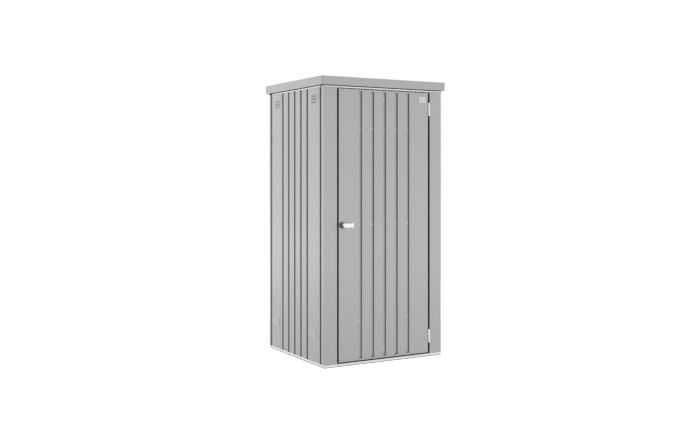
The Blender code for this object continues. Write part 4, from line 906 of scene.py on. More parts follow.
class CABINET_OT_front_posts(bpy.types.Operator):
    """Fold the two wide stiles, each with an ear that covers the header's end"""
    bl_idname = "cabinet.front_posts"
    bl_label = "Front Posts"

    def execute(self, context):
        sheets = context.scene.cabinet_sheets
        line = [
            (sheets.stile_face + sheets.stop_ledge, sheets.stile_return),
            (sheets.stile_face, sheets.stile_return),
            (sheets.stile_face, 0),
            (0, 0),
            (0, sheets.post_side_front),
            (sheets.recess_depth, sheets.post_side_front + sheets.recess_run),
            (sheets.recess_depth, sheets.post_side_front + sheets.recess_width + sheets.recess_lap),
        ]
        top = HEADER_BOTTOM - sheets.clearance
        for name, side in (("left", -1), ("right", 1)):
            post = panels(name + "_front_post", line, SEAT, top, plan(side))
            flange_top = plan(side)(0, sheets.post_side_front / 2, top)
            choose(post)
            edit()
            pick("EDGE", lambda edge: (midpoint(edge) - flange_top).length < TOUCH)
            bpy.ops.mesh.extrude_edges_move(TRANSFORM_OT_translate={"value": (0, 0, FRAME_TOP - top)})
            leave()
            round_folds(post, sheets.bend)
            thicken(post, plan(side), sheets.thickness)
            finish(post, "corner_post_front_" + name)
        return {"FINISHED"}


class CABINET_OT_rear_posts(bpy.types.Operator):
    """Fold the two rear corner posts"""
    bl_idname = "cabinet.rear_posts"
    bl_label = "Rear Posts"

    def execute(self, context):
        sheets = context.scene.cabinet_sheets
        side_edge = DEPTH - sheets.post_rear
        line = [
            (sheets.recess_depth, side_edge - sheets.recess_width - sheets.recess_lap),
            (sheets.recess_depth, side_edge - sheets.recess_run),
            (0, side_edge),
            (0, DEPTH),
            (sheets.post_rear, DEPTH),
            (sheets.post_rear + sheets.recess_run, DEPTH - sheets.recess_depth),
            (sheets.post_rear + sheets.recess_width + sheets.recess_lap, DEPTH - sheets.recess_depth),
        ]
        for name, side in (("left", -1), ("right", 1)):
            post = sheet(name + "_rear_post", line, SEAT, WALL_TOP, plan(side), sheets.thickness, sheets.bend)
            finish(post, "corner_post_rear_" + name)
        return {"FINISHED"}


# Door

class CABINET_OT_door(bpy.types.Operator):
    """Fold the door's skin with its grooves, and the channels that close its ends"""
    bl_idname = "cabinet.door"
    bl_label = "Door"

    def execute(self, context):
        sheets = context.scene.cabinet_sheets
        depth = DOOR_HIGH.y - FACE
        lip = sheets.door_lip
        centre = (DOOR_LOW.x + DOOR_HIGH.x) / 2
        line = [(DOOR_LOW.x + lip, depth), (DOOR_LOW.x, depth), (DOOR_LOW.x, 0)]
        line += groove_line(spread(centre, sheets.groove_pitch, sheets.door_grooves), sheets.groove_floor)
        line += [(DOOR_HIGH.x, 0), (DOOR_HIGH.x, depth), (DOOR_HIGH.x - lip, depth)]
        line.reverse()
        skin = sheet("door_face", line, SKIN_LOW.z, SKIN_HIGH.z, door_plan, sheets.thickness, sheets.bend)
        finish(skin, "door_skin")
        for name, node, rod, edge, inward, reach in (
            ("door_top_channel", "door_cap_top", "rod_upper",
             DOOR_HIGH.z, -1, DOOR_HIGH.z - SKIN_HIGH.z - sheets.clearance),
            ("door_bottom_channel", "door_cap_bottom", "rod_lower",
             DOOR_LOW.z, 1, SKIN_LOW.z - DOOR_LOW.z - sheets.clearance),
        ):
            line = [(0, edge + inward * reach), (0, edge), (depth, edge), (depth, edge + inward * reach)]
            if inward > 0:
                line.reverse()
            channel = sheet(name, line, DOOR_LOW.x, DOOR_HIGH.x, cross_rail(False),
                            sheets.thickness, sheets.bend)
            cut_rod_slot(channel, rod, edge, sheets.rod_play)
            finish(channel, node)
        return {"FINISHED"}


# Roof, rails and base

def press_tray(name, low, high, crown, hem, seam, thickness, bend):
    """A sheet with notched corners, folded down on four sides and hemmed inwards below."""
    middle = (low + high) / 2
    half = (high - low) / 2
    piece = add_panel(name, Vector((low.x, low.y, high.z)), Vector((high.x, low.y, high.z)),
                      Vector((low.x, high.y, high.z)))
    sides = (Vector((0, -1, 0)), Vector((1, 0, 0)), Vector((0, 1, 0)), Vector((-1, 0, 0)))
    edit()
    for out in sides:
        bpy.ops.mesh.select_all(action="SELECT")
        bpy.ops.mesh.bisect(plane_co=middle + out * (abs(half.dot(out)) - seam), plane_no=out)
    pick("FACE", lambda face: face.calc_area() < 2 * seam * seam)
    bpy.ops.mesh.delete(type="FACE")
    bpy.ops.mesh.select_all(action="SELECT")
    bpy.ops.mesh.dissolve_limited(angle_limit=math.radians(1))
    for out in sides:
        across = Vector((abs(out.y), abs(out.x), 0))
        reach = half.dot(across)
        foot = Vector((middle.x, middle.y, low.z)) + out * abs(half.dot(out))
        fold = Vector((foot.x, foot.y, high.z))
        pick("EDGE", lambda edge: (midpoint(edge) - fold).length < TOUCH)
        bpy.ops.mesh.extrude_edges_move(TRANSFORM_OT_translate={"value": foot - fold})
        bpy.ops.mesh.extrude_edges_move(TRANSFORM_OT_translate={"value": -out * hem})
        shorter = Vector((1, 1, 1)) - across * (hem / reach)
        bpy.ops.transform.resize(value=shorter, center_override=foot)
    if crown:
        pick("FACE", lambda face: face.calc_center_median().z > high.z - TOUCH)
        bpy.ops.mesh.poke(offset=crown)
    bpy.ops.mesh.select_all(action="SELECT")
    bpy.ops.mesh.normals_make_consistent(inside=False)
    leave()
    round_folds(piece, bend, lambda edge: min(abs(midpoint(edge).z - z) for z in (low.z, high.z)) < TOUCH)
    use_modifier(piece, "SOLIDIFY", thickness=thickness, offset=-1, use_even_offset=True,
                 use_quality_normals=True)
    return piece


class CABINET_OT_roof(bpy.types.Operator):
    """Fold the roof's rim down around its crowned top, and set the brace under it"""
    bl_idname = "cabinet.roof"
    bl_label = "Roof"

    def execute(self, context):
        sheets = context.scene.cabinet_sheets
        high = Vector((ROOF_HIGH.x, ROOF_HIGH.y, ROOF_HIGH.z - sheets.roof_crown))
        roof = press_tray("roof", ROOF_LOW, high, sheets.roof_crown, sheets.hem, sheets.roof_seam,
                          sheets.thickness, sheets.bend)
        finish(roof, "roof_panel")
        finish(cad_copy("roof_crossbar", "roof_brace", sheets.clearance), "roof_brace")
        return {"FINISHED"}


def cad_copy(name, node, edge):
    """A solid taken over from the frame: its triangles are merged, and its sharp edges rounded."""
    piece = bpy.data.objects.new(name, frame["nodes"][node].data.copy())
    bpy.context.scene.collection.objects.link(piece)
    choose(piece)
    edit()
    bpy.ops.mesh.select_all(action="SELECT")
    bpy.ops.mesh.remove_doubles(threshold=TOUCH)
    bpy.ops.mesh.dissolve_limited(angle_limit=math.radians(1))
    leave()
    soften(piece, edge, segments=2)
    return piece


def cut_rod_slot(piece, rod, level, play):
    """The slot that a locking rod's bar passes through, in a flange at one level."""
    sheets = bpy.context.scene.cabinet_sheets
    low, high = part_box(rod)
    left = low.x if rod == "rod_upper" else high.x - sheets.rod_width
    tool = add_box("slot_cutter", (left - play, low.y - play, level - sheets.bend),
                   (left + sheets.rod_width + play, high.y + play, level + sheets.bend))
    merge(piece, tool, "DIFFERENCE")


class CABINET_OT_top_rails(bpy.types.Operator):
    """Fold the header and the three plain rails under the roof"""
    bl_idname = "cabinet.top_rails"
    bl_label = "Top Rails"

    def execute(self, context):
        sheets = context.scene.cabinet_sheets
        face_bottom = HEADER_BOTTOM + sheets.header_step
        side_bottom = SIDE_RAIL_LOW.z
        front_line = [
            (sheets.rail_width, HEADER_BOTTOM + sheets.rail_back),
            (sheets.rail_width, HEADER_BOTTOM),
            (sheets.header_step, HEADER_BOTTOM),
            (sheets.header_step, face_bottom),
            (0, face_bottom),
            (0, face_bottom + sheets.header_face),
            (sheets.header_lean, face_bottom + sheets.header_face + sheets.header_lean * HEADER_LEAN_RISE),
            (sheets.header_lean, FRAME_TOP),
            (sheets.top_flange, FRAME_TOP),
        ]
        plain_line = [
            (sheets.rail_width, side_bottom + sheets.rail_back),
            (sheets.rail_width, side_bottom),
            (0, side_bottom),
            (0, FRAME_TOP),
            (sheets.top_flange, FRAME_TOP),
        ]
        bend = sheets.plate_bend
        for name, node, line, place in (
            ("header", "top_rail_front", front_line, cross_rail(False)),
            ("rear_top_rail", "top_rail_rear", plain_line, cross_rail(True)),
            ("left_top_rail", "top_rail_left", plain_line, side_rail(-1)),
            ("right_top_rail", "top_rail_right", plain_line, side_rail(1)),
        ):
            low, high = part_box(node)
            start, end = (low.y, high.y) if node.endswith(("left", "right")) else (low.x, high.x)
            rail = sheet(name, line, start, end, place, sheets.plate, bend)
            if node == "top_rail_front":
                cut_rod_slot(rail, "rod_upper", HEADER_BOTTOM, sheets.keeper_play)
            finish(rail, node)
        return {"FINISHED"}


class CABINET_OT_base_rails(bpy.types.Operator):
    """Fold the four base channels, mitre their corners and cut the threshold's rod slot"""
    bl_idname = "cabinet.base_rails"
    bl_label = "Base Rails"

    def execute(self, context):
        sheets = context.scene.cabinet_sheets
        foot = THRESHOLD_LOW.z
        top = THRESHOLD_HIGH.z
        line = [(0, foot), (0, top), (sheets.rail_width, top), (sheets.rail_width, foot)]
        for name, node, place, start, end in (
            ("threshold", "base_rail_front", cross_rail(False), LEFT, RIGHT),
            ("rear_base_rail", "base_rail_rear", cross_rail(True), LEFT, RIGHT),
            ("left_base_rail", "base_rail_left", side_rail(-1), FACE, BACK),
            ("right_base_rail", "base_rail_right", side_rail(1), FACE, BACK),
        ):
            rail = sheet(name, line, start, end, place, sheets.plate, sheets.plate_bend)
            self.mitre(rail, place, start, end, sheets.clearance)
            if node == "base_rail_front":
                cut_rod_slot(rail, "rod_lower", top, sheets.keeper_play)
            finish(rail, node)
        return {"FINISHED"}

    def mitre(self, rail, place, start, end, clearance):
        """Cut both ends at 45 degrees, through the body's corners."""
        inward = (place(1, 0, 0) - place(0, 0, 0)).normalized()
        along = (place(0, 0, 1) - place(0, 0, 0)).normalized()
        edit()
        for corner, away in ((place(0, 0, start), -along), (place(0, 0, end), along)):
            bpy.ops.mesh.select_all(action="SELECT")
            bpy.ops.mesh.bisect(plane_co=corner - away * clearance, plane_no=away + inward,
                                use_fill=True, clear_outer=True)
        leave()


class CABINET_OT_pads(bpy.types.Operator):
    """Mould the four corner pads"""
    bl_idname = "cabinet.pads"
    bl_label = "Corner Pads"

    def execute(self, context):
        hardware = context.scene.cabinet_hardware
        for end in ("front", "rear"):
            for hand in ("left", "right"):
                node = "corner_pad_{}_{}".format(end, hand)
                low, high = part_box(node)
                pad = add_box("{}_{}_pad".format(end, hand), low, high)
                edit()
                pick("FACE", lambda face: face.normal.z < -FACING)
                bpy.ops.mesh.inset(thickness=hardware.pad_rim)
                bpy.ops.transform.translate(value=(0, 0, (high.z - low.z) / 3))
                leave()
                soften(pad, hardware.pad_edge, segments=3)
                finish(pad, node)
        return {"FINISHED"}


class CABINET_OT_floor_panel(bpy.types.Operator):
    """Fold the floor panel with its raised beads"""
    bl_idname = "cabinet.floor_panel"
    bl_label = "Floor Panel"

    def execute(self, context):
        sheets = context.scene.cabinet_sheets
        low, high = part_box("floor_panel")
        half = sheets.bead_width / 2
        top = high.z - sheets.bead_height
        line = [(low.y - FACE, top)]
        for centre in spread((low.y + high.y) / 2 - FACE, sheets.bead_pitch, sheets.beads):
            line.append((centre - half, top))
            line.append((centre - half + sheets.bead_height, high.z))
            line.append((centre + half - sheets.bead_height, high.z))
            line.append((centre + half, top))
        line.append((high.y - FACE, top))
        panel = sheet("floor_plate", line, low.x, high.x, cross_rail(False), sheets.plate, sheets.plate_bend)
        finish(panel, "floor_panel")
        return {"FINISHED"}


# Door hardware

def dome(name, base, axis, radius, height, sides=24):
    """A round head with a softly rounded rim, standing on its base."""
    axis = Vector(axis).normalized()
    base = Vector(base)
    head = add_round(name, base, axis, radius, height, sides)
    edit()
    pick("EDGE", lambda edge: all(abs((vert.co - base).dot(axis) - height) < TOUCH for vert in edge.verts))
    bpy.ops.mesh.bevel(offset=height * DOME_ROUNDING, segments=4, affect="EDGES")
    leave()
    return head


class CABINET_OT_door_rails(bpy.types.Operator):
    """Fold the channels behind the door's face: the three struts have a rivet at each groove floor, the top
    and bottom rails one at the middle groove
    """
    bl_idname = "cabinet.door_rails"
    bl_label = "Door Rails"

    def execute(self, context):
        sheets = context.scene.cabinet_sheets
        hardware = context.scene.cabinet_hardware
        centre = (DOOR_LOW.x + DOOR_HIGH.x) / 2
        grooves = spread(centre, sheets.groove_pitch, sheets.door_grooves)
        front = sheets.groove_depth + sheets.thickness + sheets.clearance
        back = front + sheets.strut_depth
        for node, columns in (
            ("door_strut_lower", grooves), ("door_strut_middle", grooves), ("door_strut_upper", grooves),
            ("door_rail_bottom", [centre]), ("door_rail_top", [centre]),
        ):
            low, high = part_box(node)
            line = [(back, low.z), (front, low.z), (front, high.z), (back, high.z)]
            rail = sheet(node.removeprefix("door_") + "_channel", line, low.x, high.x, cross_rail(False),
                         sheets.thickness, sheets.bend)
            level = (low.z + high.z) / 2
            heads = []
            for x in columns:
                floor = (x, FACE + sheets.groove_depth, level)
                inside = (x, FACE + front + sheets.thickness, level)
                heads.append(dome("rivet", floor, (0, -1, 0), hardware.rivet_radius, hardware.rivet_height))
                heads.append(dome("tail", inside, (0, 1, 0), hardware.rivet_radius * RIVET_TAIL,
                                  hardware.rivet_height))
            finish(join(rail, heads), node)
        return {"FINISHED"}


class CABINET_OT_name_plate(bpy.types.Operator):
    """Stamp the bare plate with its raised rim"""
    bl_idname = "cabinet.name_plate"
    bl_label = "Bare Plate"

    def execute(self, context):
        hardware = context.scene.cabinet_hardware
        low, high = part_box("name_plate")
        plate = add_box("bare_plate", low, high)
        edit()
        pick("EDGE", lambda edge: abs((edge.verts[0].co - edge.verts[1].co).normalized().y) > FACING)
        bpy.ops.mesh.bevel(offset=2 * hardware.plate_rim, segments=4, affect="EDGES")
        pick("FACE", lambda face: face.normal.y < -FACING)
        bpy.ops.mesh.inset(thickness=hardware.plate_rim)
        bpy.ops.mesh.inset(thickness=(high.y - low.y) / 3)
        bpy.ops.transform.translate(value=(0, (high.y - low.y) / 3, 0))
        bpy.ops.mesh.poke()
        leave()
        finish(plate, "name_plate")
        return {"FINISHED"}


class CABINET_OT_hinges(bpy.types.Operator):
    """Roll the knuckles and leaves of both hinges, and fit their pins and screws"""
    bl_idname = "cabinet.hinges"
    bl_label = "Hinges"

    def execute(self, context):
        hardware = context.scene.cabinet_hardware
        for end in ("lower", "upper"):
            pin_low, pin_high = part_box("hinge_{}_pin".format(end))
            axis = (pin_low + pin_high) / 2
            pin_radius = (pin_high.x - pin_low.x) / 2
            for leaf, side in (("frame_leaf", 1), ("door_leaf", -1)):
                node = "hinge_{}_{}".format(end, leaf)
                self.make_leaf(hardware, "{}_{}".format(end, leaf), node, axis, side, pin_radius)
            pin = add_round("{}_hinge_pin".format(end), (axis.x, axis.y, pin_low.z), (0, 0, 1),
                            pin_radius, pin_high.z - pin_low.z)
            soften(pin, hardware.screw_height / 2)
            finish(pin, "hinge_{}_pin".format(end))
        return {"FINISHED"}

    def make_leaf(self, hardware, name, node, axis, side, pin_radius):
        low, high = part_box(node)
        knuckle = add_round(name, (axis.x, axis.y, low.z), (0, 0, 1), hardware.barrel_radius, high.z - low.z)
        outer = axis.x + side * hardware.leaf_offset
        inner = outer - side * hardware.hinge_leaf
        plate = add_box("plate", (min(inner, outer), axis.y, low.z), (max(inner, outer), high.y, high.z))
        merge(knuckle, plate, "UNION")
        play = bpy.context.scene.cabinet_sheets.clearance
        bore = add_round("bore", (axis.x, axis.y, low.z - play), (0, 0, 1), pin_radius + play,
                         high.z - low.z + 2 * play)
        merge(knuckle, bore, "DIFFERENCE")
        soften(knuckle, hardware.screw_height / 3, segments=2, angle=math.radians(50))
        heads = []
        for z in (low.z + hardware.screw_inset, high.z - hardware.screw_inset):
            base = (inner, FACE + hardware.screw_depth, z)
            heads.append(dome("screw", base, (-side, 0, 0), hardware.screw_radius, hardware.screw_height))
            heads.append(add_round("shank", base, (side, 0, 0), hardware.shank_radius, hardware.screw_length,
                                   SHANK_SIDES))
        finish(join(knuckle, heads), node)


# Lever, key plug and rose

class CABINET_OT_lever(bpy.types.Operator):
    """Shape the lever's blade from a bar, and set it on its hub"""
    bl_idname = "cabinet.lever"
    bl_label = "Lever"

    def execute(self, context):
        hardware = context.scene.cabinet_hardware
        low = LEVER_LOW
        high = Vector((LEVER_HIGH.x, LEVER_LOW.y + hardware.lever_thickness, LEVER_HIGH.z))
        reach = high.x - PIVOT.x
        tail = PIVOT.x - low.x
        half = (high.z - low.z) / 2
        lever = add_box("lever", low, high)
        cuts = [PIVOT.x + share * reach for share, depth in LEVER_DIP_SHAPE]
        cuts += [PIVOT.x - share * tail for share, depth in LEVER_TAIL_SHAPE if share < 1]
        edit()
        for x in cuts:
            bpy.ops.mesh.select_all(action="SELECT")
            bpy.ops.mesh.bisect(plane_co=(x, 0, 0), plane_no=(1, 0, 0))
        dip = hardware.lever_dip
        self.shift(high.z, {PIVOT.x + share * reach: -depth * dip for share, depth in LEVER_DIP_SHAPE})
        self.shift(low.z, {PIVOT.x - share * tail: depth * half for share, depth in LEVER_TAIL_SHAPE})
        pick("EDGE", lambda edge: all(abs(vert.co.y - low.y) < TOUCH for vert in edge.verts)
             and any(face.normal.y > -FACING for face in edge.link_faces))
        bpy.ops.mesh.bevel(offset=hardware.lever_bevel, segments=5, affect="EDGES")
        leave()
        soften(lever, hardware.lever_edge, segments=2, angle=math.radians(50))
        self.fit(hardware, lever, high)
        finish(lever, "handle_lever")
        return {"FINISHED"}

    def shift(self, level, moves):
        """Move the edge points at one level up or down."""
        for x, rise in moves.items():
            if rise:
                pick("VERT", lambda vert: abs(vert.co.x - x) < TOUCH and abs(vert.co.z - level) < TOUCH)
                bpy.ops.transform.translate(value=(0, 0, rise))

    def fit(self, hardware, lever, high):
        """The hub behind the blade, the spindle's socket and the key plug's bore."""
        play = bpy.context.scene.cabinet_sheets.clearance
        hub_back = LEVER_HIGH.y
        hub = add_round("hub", (PIVOT.x, hub_back, PIVOT.z), (0, -1, 0), hardware.hub_radius,
                        hub_back - high.y + hardware.lever_thickness / 2)
        merge(lever, hub, "UNION")
        spindle_low, spindle_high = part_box("handle_spindle")
        socket = add_box("socket", (spindle_low.x - play, spindle_low.y - play, spindle_low.z - play),
                         (spindle_high.x + play, hub_back + play, spindle_high.z + play))
        merge(lever, socket, "DIFFERENCE")
        plug_low, plug_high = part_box("lock_plug")
        bore = add_round("bore", (PIVOT.x, LEVER_LOW.y - play, PIVOT.z), (0, 1, 0),
                         hardware.plug_radius + play, plug_high.y - plug_low.y + 2 * play)
        merge(lever, bore, "DIFFERENCE")


class CABINET_OT_key_plug(bpy.types.Operator):
    """Turn the key plug and cut its slot"""
    bl_idname = "cabinet.key_plug"
    bl_label = "Key Plug"

    def execute(self, context):
        hardware = context.scene.cabinet_hardware
        low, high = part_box("lock_plug")
        plug = add_round("key_plug", (PIVOT.x, high.y, PIVOT.z), (0, -1, 0), hardware.plug_radius,
                         high.y - low.y)
        soften(plug, hardware.plug_edge, segments=2)
        half = (hardware.slot_width / 2, hardware.slot_length / 2)
        slot = add_box("slot", (PIVOT.x - half[0], low.y - hardware.slot_width, PIVOT.z - half[1]),
                       (PIVOT.x + half[0], low.y + hardware.slot_depth, PIVOT.z + half[1]))
        merge(plug, slot, "DIFFERENCE")
        finish(plug, "lock_plug")
        return {"FINISHED"}


class CABINET_OT_rose(bpy.types.Operator):
    """Turn the rose that the lever stands on"""
    bl_idname = "cabinet.rose"
    bl_label = "Rose"

    def execute(self, context):
        hardware = context.scene.cabinet_hardware
        radius = (ROSE_HIGH.x - ROSE_LOW.x) / 2
        rose = add_round("rose", (PIVOT.x, ROSE_HIGH.y, PIVOT.z), (0, -1, 0), radius,
                         ROSE_HIGH.y - ROSE_LOW.y, ROSE_SIDES)
        edit()
        pick("EDGE", lambda edge: all(abs(vert.co.y - ROSE_LOW.y) < TOUCH for vert in edge.verts))
        bpy.ops.mesh.bevel(offset=hardware.rose_bevel, segments=5, affect="EDGES")
        leave()
        low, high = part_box("handle_spindle")
        reach = (high - low).x * ROSE_HOLE
        hole = add_round("hole", (PIVOT.x, ROSE_HIGH.y + reach, PIVOT.z), (0, -1, 0), reach, 4 * reach)
        merge(rose, hole, "DIFFERENCE")
        # The rose takes its slot's dark plastic: its dark ring round the lever is painted shade for the
        # lever's shadow on the door.
        finish(rose, "handle_rose")
        return {"FINISHED"}


class CABINET_OT_lock(bpy.types.Operator):
    """Dress the lock's case, cover, spindle, pinion, rods, guides and keepers"""
    bl_idname = "cabinet.lock"
    bl_label = "Lock"

    def execute(self, context):
        edge = context.scene.cabinet_hardware.stamped_edge
        for name, node in (
            ("lock_box", "lock_case"), ("lock_back_plate", "lock_cover"),
            ("square_spindle", "handle_spindle"), ("rack_pinion", "lock_pinion"),
            ("upper_rod", "rod_upper"), ("lower_rod", "rod_lower"),
            ("upper_rod_guide", "rod_guide_upper"), ("lower_rod_guide", "rod_guide_lower"),
            ("upper_keeper", "keeper_upper"), ("lower_keeper", "keeper_lower"),
        ):
            finish(cad_copy(name, node, edge), node)
        return {"FINISHED"}


# Interior fittings

class CABINET_OT_shelves(bpy.types.Operator):
    """Fold the shelves, their wall ledges and the bolted uprights"""
    bl_idname = "cabinet.shelves"
    bl_label = "Shelves"

    def execute(self, context):
        sheets = context.scene.cabinet_sheets
        hardware = context.scene.cabinet_hardware
        for number in SHELVES:
            low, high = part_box("shelf_{}".format(number))
            shelf = press_tray("shelf_tray_{}".format(number), low, high, 0, sheets.hem, sheets.clearance,
                               sheets.thickness, sheets.bend)
            finish(shelf, "shelf_{}".format(number))
            node = "shelf_ledge_{}".format(number)
            low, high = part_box(node)
            line = [(RIGHT - high.x, low.z), (RIGHT - high.x, high.z), (RIGHT - low.x, high.z)]
            ledge = sheet("wall_ledge_{}".format(number), line, low.y, high.y, side_rail(1),
                          sheets.plate, sheets.plate_bend)
            finish(ledge, node)
        for end in ("front", "rear"):
            self.make_upright(sheets, hardware, end)
        return {"FINISHED"}

    def make_upright(self, sheets, hardware, end):
        node = "shelf_upright_" + end
        low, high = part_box(node)
        left, right = low.x - LEFT, low.x + sheets.upright_flange - LEFT
        front, back = low.y - FACE, high.y - FACE
        line = [(right, back), (right, front), (left, front)]
        if end == "rear":
            line = [(left, back), (right, back), (right, front)]
        upright = sheet(end + "_upright", line, low.z, high.z, plan(-1), sheets.plate, sheets.plate_bend)
        heads = []
        for number in SHELVES:
            shelf_low, shelf_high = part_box("shelf_{}".format(number))
            level = (shelf_low.z + shelf_high.z) / 2
            base = (LEFT + right - sheets.plate, (low.y + high.y) / 2, level)
            heads.append(dome("bolt", base, (-1, 0, 0), hardware.bolt_radius, hardware.bolt_height))
            base = (high.x - hardware.bolt_height, base[1], level)
            heads.append(add_round("nut", base, (1, 0, 0), hardware.bolt_radius, hardware.bolt_height,
                                   NUT_SIDES))
        finish(join(upright, heads), node)


class CABINET_OT_tool_rail(bpy.types.Operator):
    """Fold the channel on the rear wall and its tool hooks"""
    bl_idname = "cabinet.tool_rail"
    bl_label = "Tool Rail"

    def execute(self, context):
        sheets = context.scene.cabinet_sheets
        hardware = context.scene.cabinet_hardware
        low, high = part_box("tool_rail")
        rear = high.y - FACE
        front = rear - hardware.tool_rail_depth
        top = high.z
        bottom = top - hardware.tool_rail_height
        line = [(front, top), (rear, top), (rear, bottom), (front, bottom)]
        rail = sheet("tool_hook_rail", line, low.x, high.x, cross_rail(False),
                     sheets.plate, sheets.plate_bend)
        back = front + sheets.plate / 2
        tip = back - hardware.hook_reach
        line = [(back, top - sheets.clearance), (back, low.z), (tip, low.z), (tip, low.z + hardware.hook_lip)]
        pitch = (high.x - low.x - 2 * hardware.hook_margin) / (hardware.hooks - 1)
        hooks = []
        half = hardware.hook_width / 2
        for middle in spread((low.x + high.x) / 2, pitch, hardware.hooks):
            hooks.append(sheet("hook", line, middle - half, middle + half, cross_rail(False), sheets.plate,
                               2 * sheets.bend))
        finish(join(rail, hooks), "tool_rail")
        return {"FINISHED"}


# Stage

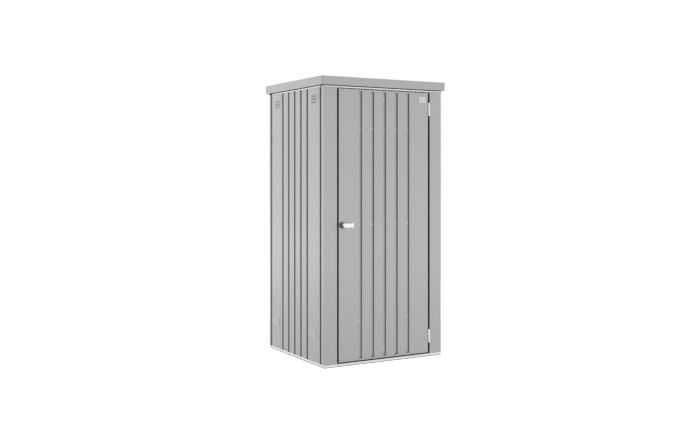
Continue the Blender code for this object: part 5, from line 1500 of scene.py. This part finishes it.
class CABINET_OT_stage(bpy.types.Operator):
    """Lay the pale floor, hang the soft lamps and place the camera"""
    bl_idname = "cabinet.stage"
    bl_label = "Stage"

    def execute(self, context):
        stage = context.scene.cabinet_stage
        self.lay_floor(stage)
        self.light(context, stage)
        self.place_camera(context, stage)
        context.scene.view_settings.view_transform = "Standard"
        return {"FINISHED"}

    def lay_floor(self, stage):
        bpy.ops.object.select_all(action="DESELECT")
        bpy.ops.mesh.primitive_plane_add(size=stage.floor_size, location=(0, 0, 0))
        floor = named(bpy.context.object, "studio_floor")
        surface, tree, shader = new_surface("studio_floor", roughness=0.9, metallic=0.0)
        shader.inputs["Base Color"].default_value = (0.8, 0.8, 0.8, 1)
        shader.inputs["Emission Color"].default_value = (1, 1, 1, 1)
        shader.inputs["Specular IOR Level"].default_value = 0.0
        where = add_node(tree, "ShaderNodeTexCoord")
        away = add_node(tree, "ShaderNodeVectorMath", operation="LENGTH")
        # The floor's glow is dimmed near the cabinet and rises with distance from its middle: painted shade
        # around the cabinet, also seen in reflections.
        painted_shade_fade = add_node(tree, "ShaderNodeMapRange", {
            "From Min": stage.glow_start, "From Max": stage.glow_end,
            "To Min": stage.floor_glow, "To Max": 1.0})
        glow = add_node(tree, "ShaderNodeMath", operation="MULTIPLY")
        glow_with_painted_shadow = add_node(tree, "ShaderNodeMath", operation="MULTIPLY")
        tree.links.new(where.outputs["Object"], away.inputs[0])
        tree.links.new(away.outputs["Value"], painted_shade_fade.inputs["Value"])
        tree.links.new(self.seen_white(tree), glow.inputs[0])
        tree.links.new(painted_shade_fade.outputs["Result"], glow.inputs[1])
        tree.links.new(glow.outputs["Value"], glow_with_painted_shadow.inputs[0])
        # The glow is cut to none under the cabinet: a painted shadow below it.
        tree.links.new(self.painted_shadow_mask(tree, where), glow_with_painted_shadow.inputs[1])
        tree.links.new(glow_with_painted_shadow.outputs["Value"], shader.inputs["Emission Strength"])
        floor.data.materials.append(surface)

    def painted_shadow_mask(self, tree, where):
        """Painted shadow under the cabinet: one on the open floor and none under its footprint, so that the
        gap below its rails is dark.
        """
        centre = add_node(tree, "ShaderNodeVectorMath", {1: (0, (FACE + BACK) / 2, 0)}, operation="SUBTRACT")
        either_way = add_node(tree, "ShaderNodeVectorMath", operation="ABSOLUTE")
        past = add_node(tree, "ShaderNodeVectorMath", {1: (RIGHT, DEPTH / 2, 0)}, operation="SUBTRACT")
        axes = add_node(tree, "ShaderNodeSeparateXYZ")
        farthest = add_node(tree, "ShaderNodeMath", operation="MAXIMUM")
        mask = add_node(tree, "ShaderNodeMath", {1: 0.0}, operation="GREATER_THAN")
        tree.links.new(where.outputs["Object"], centre.inputs[0])
        tree.links.new(centre.outputs["Vector"], either_way.inputs[0])
        tree.links.new(either_way.outputs["Vector"], past.inputs[0])
        tree.links.new(past.outputs["Vector"], axes.inputs["Vector"])
        tree.links.new(axes.outputs["X"], farthest.inputs[0])
        tree.links.new(axes.outputs["Y"], farthest.inputs[1])
        tree.links.new(farthest.outputs["Value"], mask.inputs[0])
        return mask.outputs["Value"]

    def seen_white(self, tree):
        """One for the rays that see the background: camera, glossy and transmission rays."""
        rays = add_node(tree, "ShaderNodeLightPath")
        seen = rays.outputs["Is Camera Ray"]
        for kind in ("Is Glossy Ray", "Is Transmission Ray"):
            either = add_node(tree, "ShaderNodeMath", operation="MAXIMUM")
            tree.links.new(seen, either.inputs[0])
            tree.links.new(rays.outputs[kind], either.inputs[1])
            seen = either.outputs["Value"]
        return seen

    def light(self, context, stage):
        world = bpy.data.worlds.new("studio")
        world.use_nodes = True
        tree = world.node_tree
        sky = tree.nodes["Background"]
        sky.inputs["Color"].default_value = (1, 1, 1, 1)
        strength = add_node(tree, "ShaderNodeMapRange", {"To Min": stage.ambient, "To Max": 1.0})
        tree.links.new(self.seen_white(tree), strength.inputs["Value"])
        tree.links.new(strength.outputs["Result"], sky.inputs["Strength"])
        context.scene.world = world
        for name, power, side, bearing, height in (
            ("side_lamp", stage.side_power, stage.side_size, stage.side_bearing, stage.side_height),
            ("front_lamp", stage.front_power, stage.front_size, stage.front_bearing, stage.front_height),
            ("back_lamp", stage.back_power, stage.back_size, stage.back_bearing, stage.back_height),
        ):
            place = Vector((math.sin(bearing), -math.cos(bearing), 0)) * stage.lamp_distance
            place.z = height
            bpy.ops.object.light_add(type="AREA", location=place)
            lamp = bpy.context.object
            lamp.name = name
            lamp.visible_camera = False
            lamp.data.energy = power
            lamp.data.size = side
            aim = Vector((0, 0, stage.aim_height)) - place
            lamp.rotation_euler = aim.to_track_quat("-Z", "Y").to_euler()
        bpy.ops.object.light_add(type="AREA", location=(0, 0, stage.top_height))
        lamp = bpy.context.object
        lamp.name = "top_lamp"
        lamp.visible_camera = False
        lamp.data.energy = stage.top_power
        lamp.data.size = stage.top_size

    def place_camera(self, context, stage):
        bpy.ops.object.camera_add(location=stage.eye, rotation=(math.radians(90), 0, stage.heading))
        camera = bpy.context.object
        camera.name = "photo_camera"
        camera.data.lens = stage.lens
        camera.data.shift_y = stage.shift
        context.scene.camera = camera


class CABINET_PT_panel(bpy.types.Panel):
    """The cabinet's steps, in their order"""
    bl_idname = "CABINET_PT_panel"
    bl_label = "Garden Tool Cabinet"
    bl_space_type = "VIEW_3D"
    bl_region_type = "UI"
    bl_category = "Cabinet"

    def draw(self, context):
        column = self.layout.column(align=True)
        for step in STEPS:
            column.operator(step.bl_idname)


GROUPS = {
    "cabinet_sheets": CabinetSheets,
    "cabinet_louvres": CabinetLouvres,
    "cabinet_hardware": CabinetHardware,
    "cabinet_finishes": CabinetFinishes,
    "cabinet_stage": CabinetStage,
}
STEPS = (
    CABINET_OT_side_walls,
    CABINET_OT_rear_wall,
    CABINET_OT_front_posts,
    CABINET_OT_rear_posts,
    CABINET_OT_top_rails,
    CABINET_OT_roof,
    CABINET_OT_base_rails,
    CABINET_OT_pads,
    CABINET_OT_floor_panel,
    CABINET_OT_door,
    CABINET_OT_door_rails,
    CABINET_OT_name_plate,
    CABINET_OT_hinges,
    CABINET_OT_lever,
    CABINET_OT_key_plug,
    CABINET_OT_rose,
    CABINET_OT_lock,
    CABINET_OT_shelves,
    CABINET_OT_tool_rail,
    CABINET_OT_stage,
)


def register():
    for name, group in GROUPS.items():
        bpy.utils.register_class(group)
        setattr(bpy.types.Scene, name, PointerProperty(type=group))
    for each in (*STEPS, CABINET_PT_panel):
        bpy.utils.register_class(each)


def unregister():
    for each in (CABINET_PT_panel, *reversed(STEPS)):
        bpy.utils.unregister_class(each)
    for name, group in reversed(GROUPS.items()):
        delattr(bpy.types.Scene, name)
        bpy.utils.unregister_class(group)


def main():
    register()
    for step in STEPS:
        category, action = step.bl_idname.split(".")
        getattr(getattr(bpy.ops, category), action)()


if __name__ == "__main__":
    main()
